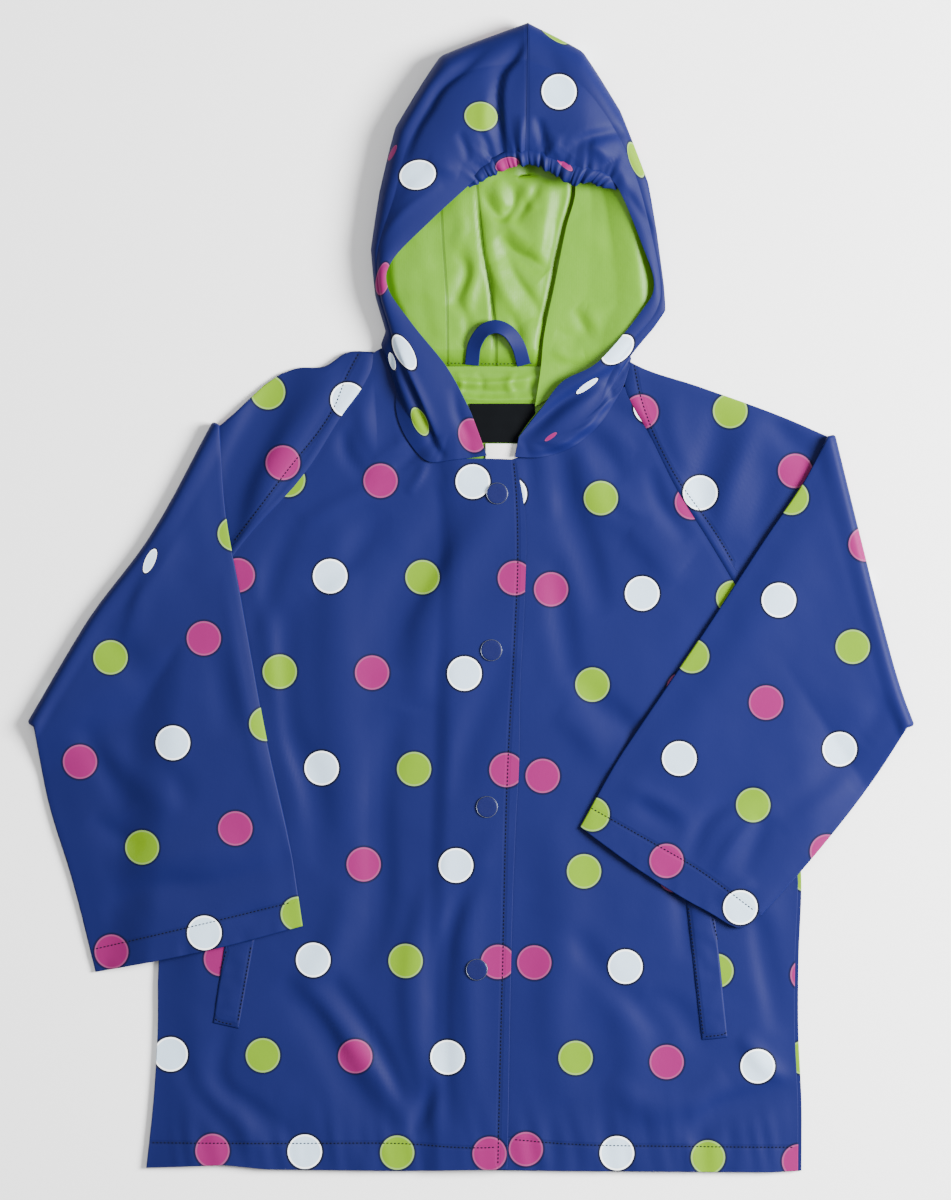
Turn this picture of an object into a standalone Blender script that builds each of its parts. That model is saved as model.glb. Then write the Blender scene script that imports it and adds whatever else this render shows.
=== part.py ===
"""A toddler raincoat laid flat on its back, front up, sleeves folded across it.

Tables are in millimetres: X runs to the wearer's left, Y from the hem to the
hood, Z up from the floor. "Right" and "left" are the wearer's own sides.
"""

import math

import bmesh
import bpy
from mathutils import Vector

MM = 0.001
COLLECTION = "toddler_raincoat"

# ---------------------------------------------------------------- sizes
WALL = 1.2              # the coated cloth
LINING_WALL = 1.0       # the hood's lining
TAG_WALL = 0.8          # the woven tags
SEAM_GAP = 0.3          # parting between pieces that touch
LAYER_GAP = 0.5         # air between cloths that lie on each other
SEAM_LAP = 1.5          # how far one piece reaches over the next at a seam
BACK_GAP = 2.0          # parting along the hidden seams on the floor
ARMPIT_GAP = 0.6        # parting of the panels and a sleeve at the armpit
RAGLAN_NECK_GAP = 2.5   # the same at the neck
SEAM_END = 0.2          # share of a seam over which its lap fades at an end
SIDE_INSET = 2.5        # the back shows this much outside the left front's hem
FRONT_TOP = 4.6         # top of the fronts above the floor
SIDE_TOP = WALL + SEAM_GAP + WALL   # top of the fronts at the side seams
SIDE_RAMP = 30.0        # how far from a side seam the front still rises
LAP_WIDTH = 45.0        # how far the fronts overlap
LAP_MARGIN = 12.0       # cloth beyond the overlap that stays smooth
LAP_RAMP = 22.0
NECK_TOP = FRONT_TOP + LAYER_GAP + WALL
SLEEVE_TOP = FRONT_TOP + LAYER_GAP + WALL
FOLD_RADIUS = 3.3       # of the sleeve's middle where it turns back on itself
SLEEVE_HALF = 2.2       # half the flattened sleeve's thickness at the fold
SLEEVE_RIDE = 7.5       # underside of the folded sleeve over the body
CUFF_RIDE = 8.0
CUFF_HALF = 2.6
FLOOR_CLEAR = 0.9       # underside of the sleeve where it reaches the floor
DROP_START = 5.0
DROP_LENGTH = 34.0
HOOD_LOWER_TUCK = 0.8   # how far the rounded edge tucks under, by its height
LINING_INSET = WALL + 0.8           # the lining inside the hood's surface
LINING_FOLD = 6.0       # height of the pleat in the lining
PLEAT_COVER = 7.0       # how far the pleat lies over the other half
LOOP_WIDTH = 9.5
LOOP_LIFT = 8.0
SNAP_RADIUS = 7.5
SNAP_HEIGHT = 2.0
SNAP_STEPS = 20

# ---------------------------------------------------------------- outlines
# each outline is a run of (x, y) points
HEM = [(-224, -393), (-170, -391), (-141, -394), (-49, -395), (25, -394),
       (61, -395), (207, -396), (228, -395)]
SIDE_RIGHT = [(-224, -393), (-219, -346), (-216, -291), (-216, -264), (-188, -12)]
SIDE_LEFT = [(228, -395), (228, -346), (226, -305), (226, -250), (228, -195),
             (205, -31)]
RAGLAN_RIGHT = [(-188, -10), (-159, 32), (-112, 89), (-79, 132), (-68, 158),
                (-67, 170)]
RAGLAN_LEFT = [(205, -29), (179, 14), (164, 39), (141, 76), (121, 118),
               (111, 150), (110, 163)]
NECK_RIGHT = [(11, 98), (-13, 95), (-30, 94), (-42, 106), (-54, 134),
              (-61, 156), (-61, 166)]
NECK_LEFT = [(30, 97), (48, 97), (68, 103), (89, 120), (100, 137),
             (106, 154), (106, 160)]
LAP_EDGE = [(25, -394), (31, -152), (33, -117), (34, -58), (37, 0), (37, 61),
            (31, 95)]
BACK_NECK = [(-60, 161), (18, 156.5), (103, 156.5)]

# sleeves: shoulder edge, where it folds, then its two edges and cuff beyond
SLEEVES = {
    "right_sleeve": dict(
        raglan=RAGLAN_RIGHT,
        shoulder=[(-67, 170), (-86, 170), (-102, 160), (-120, 159), (-178, 122)],
        fold=[(-178, 122), (-223, 40), (-264, -15), (-281, -43), (-306, -86)],
        armpit=[(-188, -10), (-306, -86)],
        inner=[(-178, 122), (-169, 57), (-159, 3), (-140, -101), (-124, -174),
               (-116, -226)],
        outer=[(-306, -86), (-292, -139), (-275, -195), (-259, -258)],
        cuff=[(-116, -226), (-169, -240), (-216, -250), (-259, -258)],
        side=-1),
    "left_sleeve": dict(
        raglan=RAGLAN_LEFT,
        shoulder=[(110, 163), (158, 146), (220, 123), (251, 113)],
        fold=[(251, 113), (269, 40), (283, -15), (299, -70), (306, -88)],
        armpit=[(205, -29), (306, -88)],
        inner=[(251, 113), (231, 83), (204, 43), (160, -24), (115, -90),
               (103, -108), (75, -158)],
        outer=[(306, -88), (277, -126), (233, -181), (200, -218)],
        cuff=[(75, -158), (121, -191), (163, -216), (188, -227), (200, -218)],
        side=1),
}

# ---------------------------------------------------------------- folds
# soft ridges and troughs of the cloth:
# (x from, y from, x to, y to, half width, height)
RIGHT_FRONT_FOLDS = [
    (-6, 60, -60, -50, 13, -1.7),
    (22, 55, -38, -60, 15, 1.9),
    (-55, -70, -64, -222, 12, -1.6),
    (-82, 40, -88, -150, 16, 1.4),
    (-84, -195, -70, -330, 14, 1.7),
    (-118, -262, -48, -372, 13, -1.6),
    (-16, -120, -36, -330, 15, 1.6),
    (-150, -300, -110, -385, 16, 1.3),
]
LEFT_FRONT_FOLDS = [
    (56, 86, 92, 10, 12, -1.6),
    (78, 86, 128, 6, 14, 1.8),
    (58, 20, 66, -60, 11, -1.4),
    (76, -50, 130, -100, 14, 1.4),
    (70, -150, 60, -330, 17, 1.5),
    (120, -240, 96, -380, 15, 1.4),
    (150, -366, 222, -340, 13, -1.5),
    (192, -250, 206, -330, 12, 1.2),
]
SLEEVE_FOLDS = {
    "right_sleeve": [
        (-270, -120, -130, -150, 18, 1.4),
        (-230, -215, -135, -196, 12, -1.2),
        (-200, 40, -180, -90, 18, 1.5),
    ],
    "left_sleeve": [
        (150, -158, 220, -110, 14, -1.2),
        (240, 60, 130, -110, 22, 1.6),
        (240, -60, 280, -90, 14, 1.2),
    ],
}

# ---------------------------------------------------------------- hood
# a row for each section from the neck seam to the centre seam:
# mouth x, y, z; crease x, y, z; mid x, y, z; outer x, y; edge height; spine x, y
HOOD_RIGHT = [
    (0, 128, 11, -26, 112, 12, -49, 137, 8.5, -61, 171, 4.5, 19, 171),
    (-16, 158, 16, -41, 145, 17, -54, 158, 11, -62, 175, 6, 20, 188),
    (-40, 188, 20, -50, 180, 21, -55, 181, 17, -59, 184, 8, 21, 206),
    (-57, 213, 24, -61, 211, 24, -63, 210, 20, -66, 208, 11, 23, 223),
    (-54, 232, 26, -59, 236, 27, -64, 239, 23, -69, 240, 12, 23, 237),
    (-28, 259, 27, -41, 269, 31, -53, 275, 28, -63, 280, 13, 25, 257),
    (-2, 283, 28, -21, 299, 34, -41, 316, 30, -52, 324, 14, 26, 275),
    (18, 301, 29, 5, 331, 38, -11, 357, 32, -21, 373, 14, 28, 292),
    (37, 306, 30, 38, 337, 39, 38.5, 370, 33, 39, 396, 14, 28, 309),
]
HOOD_LEFT = [
    (33, 111, 10, 58, 110, 11, 89, 133, 8.5, 110, 167, 4.5, 19, 171),
    (48, 130, 13, 70, 128, 14, 93, 147, 11, 115, 173, 6, 20, 185),
    (63, 149, 16, 82, 148, 17, 99, 160, 13, 120, 179, 7, 21, 197),
    (88, 163, 18, 97, 164, 19, 110, 175, 16, 126, 186, 8.5, 22, 210),
    (117, 197, 22, 122, 197, 22, 127, 197, 19, 134, 198, 10, 23, 223),
    (126, 216, 23, 128, 216, 22, 130.5, 216, 18, 133, 215, 11, 23, 237),
    (117, 245, 25.5, 120.5, 247, 25, 124.5, 249, 21, 128, 252, 12, 25, 250),
    (101, 282, 28, 108, 287, 31, 114, 288, 28, 122, 286, 13, 26, 266),
    (88, 291, 29, 94, 309, 35, 98, 323, 33, 103, 335, 14, 27, 282),
    (66, 296, 29.5, 70, 326, 38, 73, 354, 34, 77, 376, 14, 28, 296),
    (37, 306, 30, 38, 337, 39, 38.5, 370, 33, 39, 396, 14, 28, 309),
]
SPINE_START = (18, 158)
# the pleat in the lining, from the neck to the crown
LINING_PLEAT = [(44, 132), (48, 158), (50, 179), (57, 213), (66, 257), (72, 282),
                (68, 300), (56, 316)]

# the gathered edge: the line that it makes along the mouth
CASING_MOUTH = [(3, 278), (12, 288), (23, 293), (37, 297), (48, 295), (60, 288),
                (70, 283), (81, 285), (89, 280), (94, 276)]
CASING_SEAM = [row[0:3] for row in HOOD_RIGHT[-3:] + HOOD_LEFT[-2:-5:-1]]
CASING_END = 0.96       # the band stops short of the seam's left end
CASING_WAVES = 14
CASING_STEPS = 6        # columns for each wave
CASING_BULGE = 3.4
CASING_AMPLITUDE = 1.2

# ---------------------------------------------------------------- small pieces
# corner points: upper inner, upper outer, lower outer, lower inner
WELTS = {
    "welt_right": [(-149, -235), (-170, -239), (-178, -293), (-160, -297)],
    "welt_left": [(148, -208), (168, -216), (177, -303), (159, -305)],
}
BACK_NECK_FACING = [(-30, 156.5), (60, 156.5), (54, 90), (-24, 90)]
NECK_LABEL = [(-1, 134), (44, 134), (44, 107), (-1, 107)]
SIZE_TAG = [(10, 106.4), (32, 106.4), (32, 98), (10, 98)]
SNAPS = [(18, 72), (14, -36), (11, -144), (4, -256)]
LOOP_PATH = [(0.5, 160.5), (3, 176), (10, 185), (17, 187), (25, 184), (32, 175),
             (36.5, 160.5)]

COLOURS = {
    "shell": (0.036, 0.084, 0.30),
    "lining": (0.32, 0.52, 0.13),
    "black": (0.012, 0.012, 0.014),
    "white": (0.78, 0.80, 0.80),
}


# ---------------------------------------------------------------- plan tools
def smooth(t):
    """An S curve from 0 to 1."""
    t = min(max(t, 0.0), 1.0)
    return t * t * (3.0 - 2.0 * t)


def along(points, t):
    """The point at fraction t of the length of a run of points."""
    run = [Vector(point) for point in points]
    steps = [(b - a).length for a, b in zip(run, run[1:])]
    distance = min(max(t, 0.0), 1.0) * sum(steps)
    for start, end, step in zip(run, run[1:], steps):
        if distance <= step:
            return start.lerp(end, distance / step)
        distance -= step
    return run[-1]


def edge_of(points):
    """A run of points as an edge, a function from 0 to 1."""
    return lambda t: along(points, t)


def two_runs(first, second, share):
    """One edge from two runs that meet at a corner, the first its share."""
    def at(t):
        if t < share:
            return first(t / share)
        return second((t - share) / (1.0 - share))
    return at


def patch(south, north, west, east):
    """A surface between four edges, each a function from 0 to 1."""
    def at(u, v):
        ruled = south(u).lerp(north(u), v) + west(v).lerp(east(v), u)
        corners = south(0).lerp(south(1), u).lerp(north(0).lerp(north(1), u), v)
        return ruled - corners
    return at


def beside(points, t, distance):
    """The point at t, moved to the right of the run's direction."""
    before = along(points, t - 0.01)
    after = along(points, t + 0.01)
    heading = (after - before).normalized()
    return along(points, t) + Vector((heading.y, -heading.x)) * distance


def x_at(points, y):
    """The x of a run at height y, held past its ends."""
    run = sorted(points, key=lambda point: point[1])
    if y <= run[0][1]:
        return run[0][0]
    for (x0, y0), (x1, y1) in zip(run, run[1:]):
        if y <= y1:
            return x0 + (x1 - x0) * (y - y0) / (y1 - y0)
    return run[-1][0]


def fold_height(folds, x, y):
    """The sum of a table's soft ridges and troughs at (x, y)."""
    total = 0.0
    for x0, y0, x1, y1, half_width, height in folds:
        span = math.hypot(x1 - x0, y1 - y0)
        ahead = ((x - x0) * (x1 - x0) + (y - y0) * (y1 - y0)) / span
        across = ((x - x0) * (y1 - y0) - (y - y0) * (x1 - x0)) / span
        if 0.0 < ahead < span:
            taper = math.sin(math.pi * ahead / span)
            total += height * taper * math.exp(-(across / half_width) ** 2)
    return total


# ---------------------------------------------------------------- heights
def side_distance(x, y):
    """How far (x, y) is inside the side seams; the armholes don't count."""
    inside = min(x - x_at(SIDE_RIGHT, y), x_at(SIDE_LEFT, y) - x)
    return inside + max(0.0, y + 60.0)


def front_top(x, y):
    rise = smooth(side_distance(x, y) / SIDE_RAMP)
    return SIDE_TOP + (FRONT_TOP - SIDE_TOP) * rise


def lap_lift(x, y):
    """What the upper front adds to its height where it laps over the other."""
    into_lap = x - (x_at(LAP_EDGE, y) - LAP_WIDTH - LAP_MARGIN - LAP_RAMP)
    return (WALL + 2.0 * LAYER_GAP) * smooth(into_lap / LAP_RAMP)


def clear_of_lap(x, y):
    """1 away from the lap and the neck, 0 where the fronts lie on each other."""
    from_lap = abs(x - x_at(LAP_EDGE, y) + LAP_WIDTH / 2) - LAP_WIDTH / 2
    return smooth((from_lap - LAP_MARGIN) / LAP_RAMP)


def right_front_top(x, y):
    folds = fold_height(RIGHT_FRONT_FOLDS, x, y) * clear_of_lap(x, y)
    return front_top(x, y) + lap_lift(x, y) + folds


def left_front_top(x, y):
    folds = fold_height(LEFT_FRONT_FOLDS, x, y) * clear_of_lap(x, y)
    return front_top(x, y) + folds


# ---------------------------------------------------------------- mesh tools
def material(name, colour, roughness):
    made = bpy.data.materials.new(name)
    made.use_nodes = True
    shader = made.node_tree.nodes["Principled BSDF"]
    shader.inputs["Base Color"].default_value = (*colour, 1.0)
    shader.inputs["Roughness"].default_value = roughness
    return made


def add_piece(name, bm, colour, roughness=0.45):
    mesh = bpy.data.meshes.new(name)
    bm.to_mesh(mesh)
    bm.free()
    mesh.shade_smooth()
    piece = bpy.data.objects.new(name, mesh)
    piece.data.materials.append(material(name, COLOURS[colour], roughness))
    bpy.data.collections[COLLECTION].objects.link(piece)
    return piece


def grid(columns, rows, place):
    """A grid of cloth; place(u, v) gives a point in millimetres."""
    bm = bmesh.new()
    bmesh.ops.create_grid(bm, x_segments=columns, y_segments=rows, size=0.5)
    for vert in bm.verts:
        u = round((vert.co.x + 0.5) * columns) / columns
        v = round((vert.co.y + 0.5) * rows) / rows
        vert.co = Vector(place(u, v)) * MM
    return bm


def face_away_from(bm, inner):
    """Turn the faces so that they look away from a point inside."""
    inner = Vector(inner) * MM
    outward = sum(face.calc_area() * face.normal.dot(face.calc_center_median() - inner)
                  for face in bm.faces)
    if outward < 0.0:
        bmesh.ops.reverse_faces(bm, faces=bm.faces)


def sew(name, bm, inner, colour="shell", wall=WALL, closed=False, seam=None):
    """Make a grid a named piece, its wall inside the drawn surface.

    At a seam between two halves both walls stand square to the seam, so
    seam(vert) says where the wall's direction loses its x.
    """
    if closed:
        bmesh.ops.remove_doubles(bm, verts=bm.verts, dist=0.01 * MM)
    bm.normal_update()
    face_away_from(bm, inner)
    bm.normal_update()
    inward = bm.verts.layers.float_vector.new("inward")
    for vert in bm.verts:
        direction = -vert.normal
        if seam and seam(vert):
            direction.x = 0.0
            direction.normalize()
        vert[inward] = direction * wall * MM
    outer_faces = list(bm.faces)
    made = bmesh.ops.extrude_face_region(bm, geom=outer_faces, use_keep_orig=True)
    for item in made["geom"]:
        if isinstance(item, bmesh.types.BMVert):
            item.co += item[inward]
    bmesh.ops.recalc_face_normals(bm, faces=bm.faces)
    bm.verts.layers.float_vector.remove(inward)
    return add_piece(name, bm, colour)


BELOW = (0.0, 0.0, -9000.0)     # a point that every upper surface looks away from


# ---------------------------------------------------------------- body
def raglan_edge(run, side, amount):
    """A body panel's raglan edge: moved towards the sleeve by amount inside."""
    def at(t):
        armpit, neck = smooth(t / SEAM_END), smooth((1.0 - t) / SEAM_END)
        shift = -ARMPIT_GAP * (1.0 - armpit) - RAGLAN_NECK_GAP * (1.0 - neck)
        return beside(run, t, side * (shift + amount * armpit * neck))
    return at


def neck_edge(run, side):
    """A front's neck edge, from the shoulder to the middle, under the hood."""
    shoulder_share = 0.25           # of the seam, where the lap turns to a parting

    def at(t):
        lapped = smooth(t / shoulder_share)
        return beside(run, 1.0 - t, -side * SEAM_LAP * (2.0 * lapped - 1.0))
    return at


def build_back():
    armpit = 0.6                    # share of an edge below its armpit
    west = two_runs(edge_of(SIDE_RIGHT), raglan_edge(RAGLAN_RIGHT[:-1], -1, -BACK_GAP),
                    armpit)
    east = two_runs(edge_of(SIDE_LEFT), raglan_edge(RAGLAN_LEFT[:-1], 1, -BACK_GAP),
                    armpit)
    neck = [west(1.0)] + [Vector(point) for point in BACK_NECK] + [east(1.0)]
    at = patch(edge_of(HEM), edge_of(neck), west, east)

    def place(u, v):
        x, y = at(u, v)
        return x, y, WALL
    sew("back", grid(8, 15, place), BELOW)


def build_right_front():
    shoulder = 10 / 16              # share of the upper edge up to the shoulder
    to_lap = 0.1                    # share of it that bends to the lap's corner
    raglan_and_neck = two_runs(raglan_edge(RAGLAN_RIGHT[:-1], -1, SEAM_LAP),
                               neck_edge(NECK_RIGHT[:-1], -1), shoulder)

    def north(t):
        bend = smooth((t - 1.0 + to_lap) / to_lap)
        return raglan_and_neck(t).lerp(Vector(LAP_EDGE[-1]), bend)

    hem = [point for point in HEM if point[0] <= LAP_EDGE[0][0]]
    at = patch(edge_of(hem), north, edge_of(SIDE_RIGHT), edge_of(LAP_EDGE))

    def place(u, v):
        x, y = at(u, v)
        return x, y, right_front_top(x, y)
    sew("right_front", grid(16, 24, place), BELOW)


def build_left_front():
    shoulder = 6 / 16               # share of the upper edge up to the shoulder
    below_armpit = 0.3              # share of the side over which the inset fades
    neck_steps = 8

    def under_lap(t):
        return along(LAP_EDGE, t) - Vector((LAP_WIDTH, 2.0 * t))

    def side(t):
        inset = SIDE_INSET * smooth((1.0 - t) / below_armpit)
        return along(SIDE_LEFT, t) - Vector((inset, 0.0))

    neck = [under_lap(1.0), (26, 94)]
    for k in range(neck_steps - 1):
        lapped = ARMPIT_GAP - (SEAM_LAP + ARMPIT_GAP) * smooth(k / 2)
        neck.append(beside(NECK_LEFT, k / neck_steps, lapped))
    neck.append(beside(NECK_LEFT[:-1], 1.0, SEAM_LAP))
    raglan = raglan_edge(RAGLAN_LEFT[:-1], 1, SEAM_LAP)
    north = two_runs(edge_of(neck), lambda t: raglan(1.0 - t), shoulder)

    hem = [under_lap(0.0)]
    hem += [point for point in HEM if point[0] > LAP_EDGE[0][0]][:-1] + [side(0.0)]
    at = patch(edge_of(hem), north, under_lap, side)

    def place(u, v):
        x, y = at(u, v)
        return x, y, left_front_top(x, y)
    sew("left_front", grid(16, 24, place), BELOW)


# ---------------------------------------------------------------- sleeves
SLEEVE_ACROSS = 9       # columns over the flat of a sleeve
SLEEVE_EDGE = 4         # steps round each rolled edge
UPPER_STEPS = 5
TURN_STEPS = 6
LOWER_STEPS = 11
AFTER_TURN = 0.15       # share of the lower sleeve over which it comes to rest


def ring_slots():
    """(share across, outward, lift) for each point round a flattened sleeve."""
    across = [k / SLEEVE_ACROSS for k in range(SLEEVE_ACROSS + 1)]
    angles = [math.pi * k / SLEEVE_EDGE for k in range(1, SLEEVE_EDGE)]
    upper = [(share, 0.0, 1.0) for share in across]
    outer_roll = [(1.0, math.sin(a), math.cos(a)) for a in angles]
    lower = [(share, 0.0, -1.0) for share in reversed(across)]
    inner_roll = [(0.0, -math.sin(a), -math.cos(a)) for a in angles]
    return upper + outer_roll + lower + inner_roll


def off_the_support(x, y, side, armpit, elbow):
    """How far (x, y) lies outside the body and the upper sleeve below it."""
    seam = SIDE_RIGHT if side < 0 else SIDE_LEFT
    past_side = side * (x - x_at(seam, y))
    armpit, elbow = Vector(armpit), Vector(elbow)
    run = (elbow - armpit).normalized()
    offset = Vector((x, y)) - armpit
    below = -side * (run.x * offset.y - run.y * offset.x)
    return min(past_side, below)


def build_sleeve(name, cut):
    side = cut["side"]
    reach = FOLD_RADIUS + SLEEVE_HALF
    fold_start = Vector(cut["fold"][0])
    fold_end = Vector(cut["fold"][-1])
    fold_run = (fold_end - fold_start).normalized()
    outward = Vector((fold_run.y, -fold_run.x)) * -side

    def axis(t):
        return along(cut["fold"], t) - outward * reach

    def inset_end(points, amount):
        """A run whose first point is moved in from the fold's silhouette."""
        return [Vector(points[0]) - outward * amount] + [Vector(p) for p in points[1:]]

    raglan = [Vector(point) for point in reversed(cut["raglan"])]
    shoulder = list(reversed(inset_end(list(reversed(cut["shoulder"])), reach)))
    armpit = list(reversed(inset_end(list(reversed(cut["armpit"])), reach)))
    inner = inset_end(cut["inner"], reach)
    outer = inset_end(cut["outer"], reach)

    # u runs from the shoulder edge to the underarm edge, v from neck to cuff
    upper = patch(edge_of(raglan), axis, edge_of(shoulder), edge_of(armpit))
    lower = patch(axis, edge_of(cut["cuff"]), edge_of(inner), edge_of(outer))
    slots = ring_slots()
    stations = UPPER_STEPS + TURN_STEPS + LOWER_STEPS
    axis_height = FOLD_RADIUS + SLEEVE_HALF

    def flat_section(at, v, slot, underside, half):
        share, roll, lift = slot
        first, last = at(0.0, v), at(1.0, v)
        width = (last - first).length
        across = (last - first) / width
        edge = half(0.0) / width
        point = at(edge + share * (1.0 - 2.0 * edge), v) + across * roll * half(share)
        bottom = underside(point.x, point.y)
        z = bottom + half(share) * (1.0 + lift)
        if lift == 1.0 and at is lower:
            z += fold_height(SLEEVE_FOLDS[name], point.x, point.y)
        return point.x, point.y, z

    def upper_half(v):
        def half(share):
            seam = SLEEVE_TOP / 2.0
            return seam + (SLEEVE_HALF - seam) * smooth(v)
        return half

    def lower_half(v):
        def half(share):
            bulge = 0.5 * math.sin(math.pi * share)
            return SLEEVE_HALF + bulge * smooth(v * 3.0) + (CUFF_HALF - SLEEVE_HALF) * v
        return half

    def lower_underside(v):
        start = axis_height + FOLD_RADIUS - SLEEVE_HALF
        held = start + (SLEEVE_RIDE - start) * smooth(v / AFTER_TURN)
        held += (CUFF_RIDE - SLEEVE_RIDE) * v

        def underside(x, y):
            away = off_the_support(x, y, side, cut["armpit"][0], cut["armpit"][1])
            drop = smooth((away - DROP_START) / DROP_LENGTH)
            return held + (FLOOR_CLEAR - held) * drop
        return underside

    def turn_section(t, slot):
        share, roll, lift = slot
        angle = math.pi * (t - 0.5)
        first, last = axis(0.0), axis(1.0)
        width = (last - first).length
        across = (last - first) / width
        edge = SLEEVE_HALF / width
        base = axis(edge + share * (1.0 - 2.0 * edge)) + across * roll * SLEEVE_HALF
        radius = FOLD_RADIUS - lift * SLEEVE_HALF
        point = base + outward * radius * math.cos(angle)
        return point.x, point.y, axis_height + radius * math.sin(angle)

    def place(u, v):
        station = round(v * stations)
        share, roll, lift = slots[round(u * len(slots)) % len(slots)]
        if station < UPPER_STEPS:
            t = station / UPPER_STEPS
            return flat_section(upper, t, (share, roll, lift), lambda x, y: 0.0,
                                upper_half(t))
        if station <= UPPER_STEPS + TURN_STEPS:
            return turn_section((station - UPPER_STEPS) / TURN_STEPS, (share, roll, lift))
        t = (station - UPPER_STEPS - TURN_STEPS) / LOWER_STEPS
        # past the turn the cloth that was on top lies below
        return flat_section(lower, t, (share, roll, -lift), lower_underside(t),
                            lower_half(t))

    bm = grid(len(slots), stations, place)
    sew(name, bm, (side * 200.0, -60.0, 5.0), closed=True)


# ---------------------------------------------------------------- hood
ROLL_STEPS = 3
TOP_STEPS = 6
FLOOR_STEPS = 3
HOOD_COLUMNS = TOP_STEPS + 2 * ROLL_STEPS + FLOOR_STEPS
HOOD_ROWS = 16
HOOD_MIDDLE = (30.0, 240.0, 14.0)


def blend_rows(table, v):
    """The table's row at fraction v, straight between its neighbours."""
    place = min(max(v, 0.0), 1.0) * (len(table) - 1)
    lower = min(int(place), len(table) - 2)
    share = place - lower
    return [a + (b - a) * share for a, b in zip(table[lower], table[lower + 1])]


def top_path(mouth, crease, mid, t):
    """A curve through three points, the crease half way."""
    return (mouth * (2.0 * (t - 0.5) * (t - 1.0)) + crease * (-4.0 * t * (t - 1.0))
            + mid * (2.0 * t * (t - 0.5)))


def hood_point(row, column, end=None):
    """A point of a section: mouth, over the top, round the edge, to its end."""
    mouth, crease, mid = Vector(row[0:3]), Vector(row[3:6]), Vector(row[6:9])
    outer, edge, spine = Vector(row[9:11]), row[11], Vector(row[12:14])
    if column <= TOP_STEPS:
        return top_path(mouth, crease, mid, column / TOP_STEPS)
    step = column - TOP_STEPS
    if step <= ROLL_STEPS:
        angle = 0.5 * math.pi * step / ROLL_STEPS
        point = mid.xy.lerp(outer, math.sin(angle))
        return Vector((point.x, point.y, edge + (mid.z - edge) * math.cos(angle)))
    inward = (spine - outer).normalized()
    tuck = edge * HOOD_LOWER_TUCK
    step -= ROLL_STEPS
    if step <= ROLL_STEPS:
        angle = 0.5 * math.pi * step / ROLL_STEPS
        point = outer + inward * tuck * (1.0 - math.cos(angle))
        return Vector((point.x, point.y, edge * (1.0 - math.sin(angle))))
    step -= ROLL_STEPS
    point = (outer + inward * tuck).lerp(end or spine, step / FLOOR_STEPS)
    return Vector((point.x, point.y, 0.0))


def neck_section(run, column, spine, edge):
    """The first section follows the neck seam over the fronts."""
    outer = along(run, 1.0)
    roll_share = 0.1                # of the seam, where it goes round the shoulder
    if column <= TOP_STEPS + ROLL_STEPS:
        angle = 0.5 * math.pi * max(0.0, (column - TOP_STEPS) / ROLL_STEPS)
        share = (1.0 - roll_share) * min(1.0, column / TOP_STEPS)
        point = along(run, share + roll_share * math.sin(angle))
        lift = lap_lift(point.x + 8.0, point.y)
        lift *= 1.0 - smooth((point.x - 36.0) / 22.0)
        fall = (NECK_TOP - edge) * (1.0 - math.cos(angle))
        return Vector((point.x, point.y, NECK_TOP + lift - fall))
    row = [0.0] * 9 + [outer.x, outer.y, edge, spine[0], spine[1]]
    return hood_point(row, column)


def part_halves(point, side):
    """Move a point on the centre seam to its own half's side of the seam."""
    point.x += SEAM_GAP / 2.0 * side
    return point


def on_centre_seam(vert):
    """Where a hood half meets the other over the crown."""
    x, y = vert.co.x / MM, vert.co.y / MM
    return y > 300.0 and 36.0 < x < 40.0


def build_hood():
    for name, table, run, side in (("hood_right", HOOD_RIGHT, NECK_RIGHT, -1),
                                   ("hood_left", HOOD_LEFT, NECK_LEFT, 1)):
        def place(u, v):
            column, row = round(u * HOOD_COLUMNS), round(v * HOOD_ROWS)
            if row == 0:
                point = neck_section(run, column, SPINE_START, 2.6)
            else:
                section = blend_rows(table, (row - 1) / (HOOD_ROWS - 1))
                point = hood_point(section, column)
            if row == HOOD_ROWS or column == HOOD_COLUMNS:
                part_halves(point, side)
            return point
        sew(name, grid(HOOD_COLUMNS, HOOD_ROWS, place), HOOD_MIDDLE, seam=on_centre_seam)


def build_lining():
    """The lining follows the hood inside.

    The right half goes on past the spine, under the left half, which ends in
    a raised pleat.
    """
    past_spine = 3
    rows = HOOD_ROWS - 1

    def lining_half(table, side):
        columns = HOOD_COLUMNS + (past_spine if side < 0 else 0)

        def place(u, v):
            column, row = round(u * columns), round(v * rows)
            section = blend_rows(table, row / rows)
            pleat = along(LINING_PLEAT, row / rows)
            if row == 0:
                section[12:14] = SPINE_START[0], SPINE_START[1] + 1.0
            if side > 0:
                point = hood_point(section, column, pleat)
                point.z += LINING_FOLD * smooth(
                    (column - HOOD_COLUMNS + FLOOR_STEPS) / FLOOR_STEPS)
            elif column <= HOOD_COLUMNS:
                point = hood_point(section, column)
            else:
                covered = pleat + Vector((PLEAT_COVER, 0.0))
                covered.y = max(covered.y, section[13])
                step = (column - HOOD_COLUMNS) / past_spine
                point = Vector(section[12:14]).lerp(covered, step).to_3d()
            if row == rows and column < HOOD_COLUMNS:
                part_halves(point, side)
            return point
        return grid(columns, rows, place)

    for name, table, side in (("lining_right", HOOD_RIGHT, -1),
                              ("lining_left", HOOD_LEFT, 1)):
        bm = lining_half(table, side)
        bm.normal_update()
        face_away_from(bm, HOOD_MIDDLE)
        bm.normal_update()
        moves = []
        for vert in bm.verts:
            direction = vert.normal.copy()
            if on_centre_seam(vert):
                direction.x = 0.0
                direction.normalize()
            moves.append((vert, -direction * LINING_INSET * MM))
        for vert, move in moves:
            vert.co += move
        sew(name, bm, HOOD_MIDDLE, "lining", LINING_WALL, seam=on_centre_seam)


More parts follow.
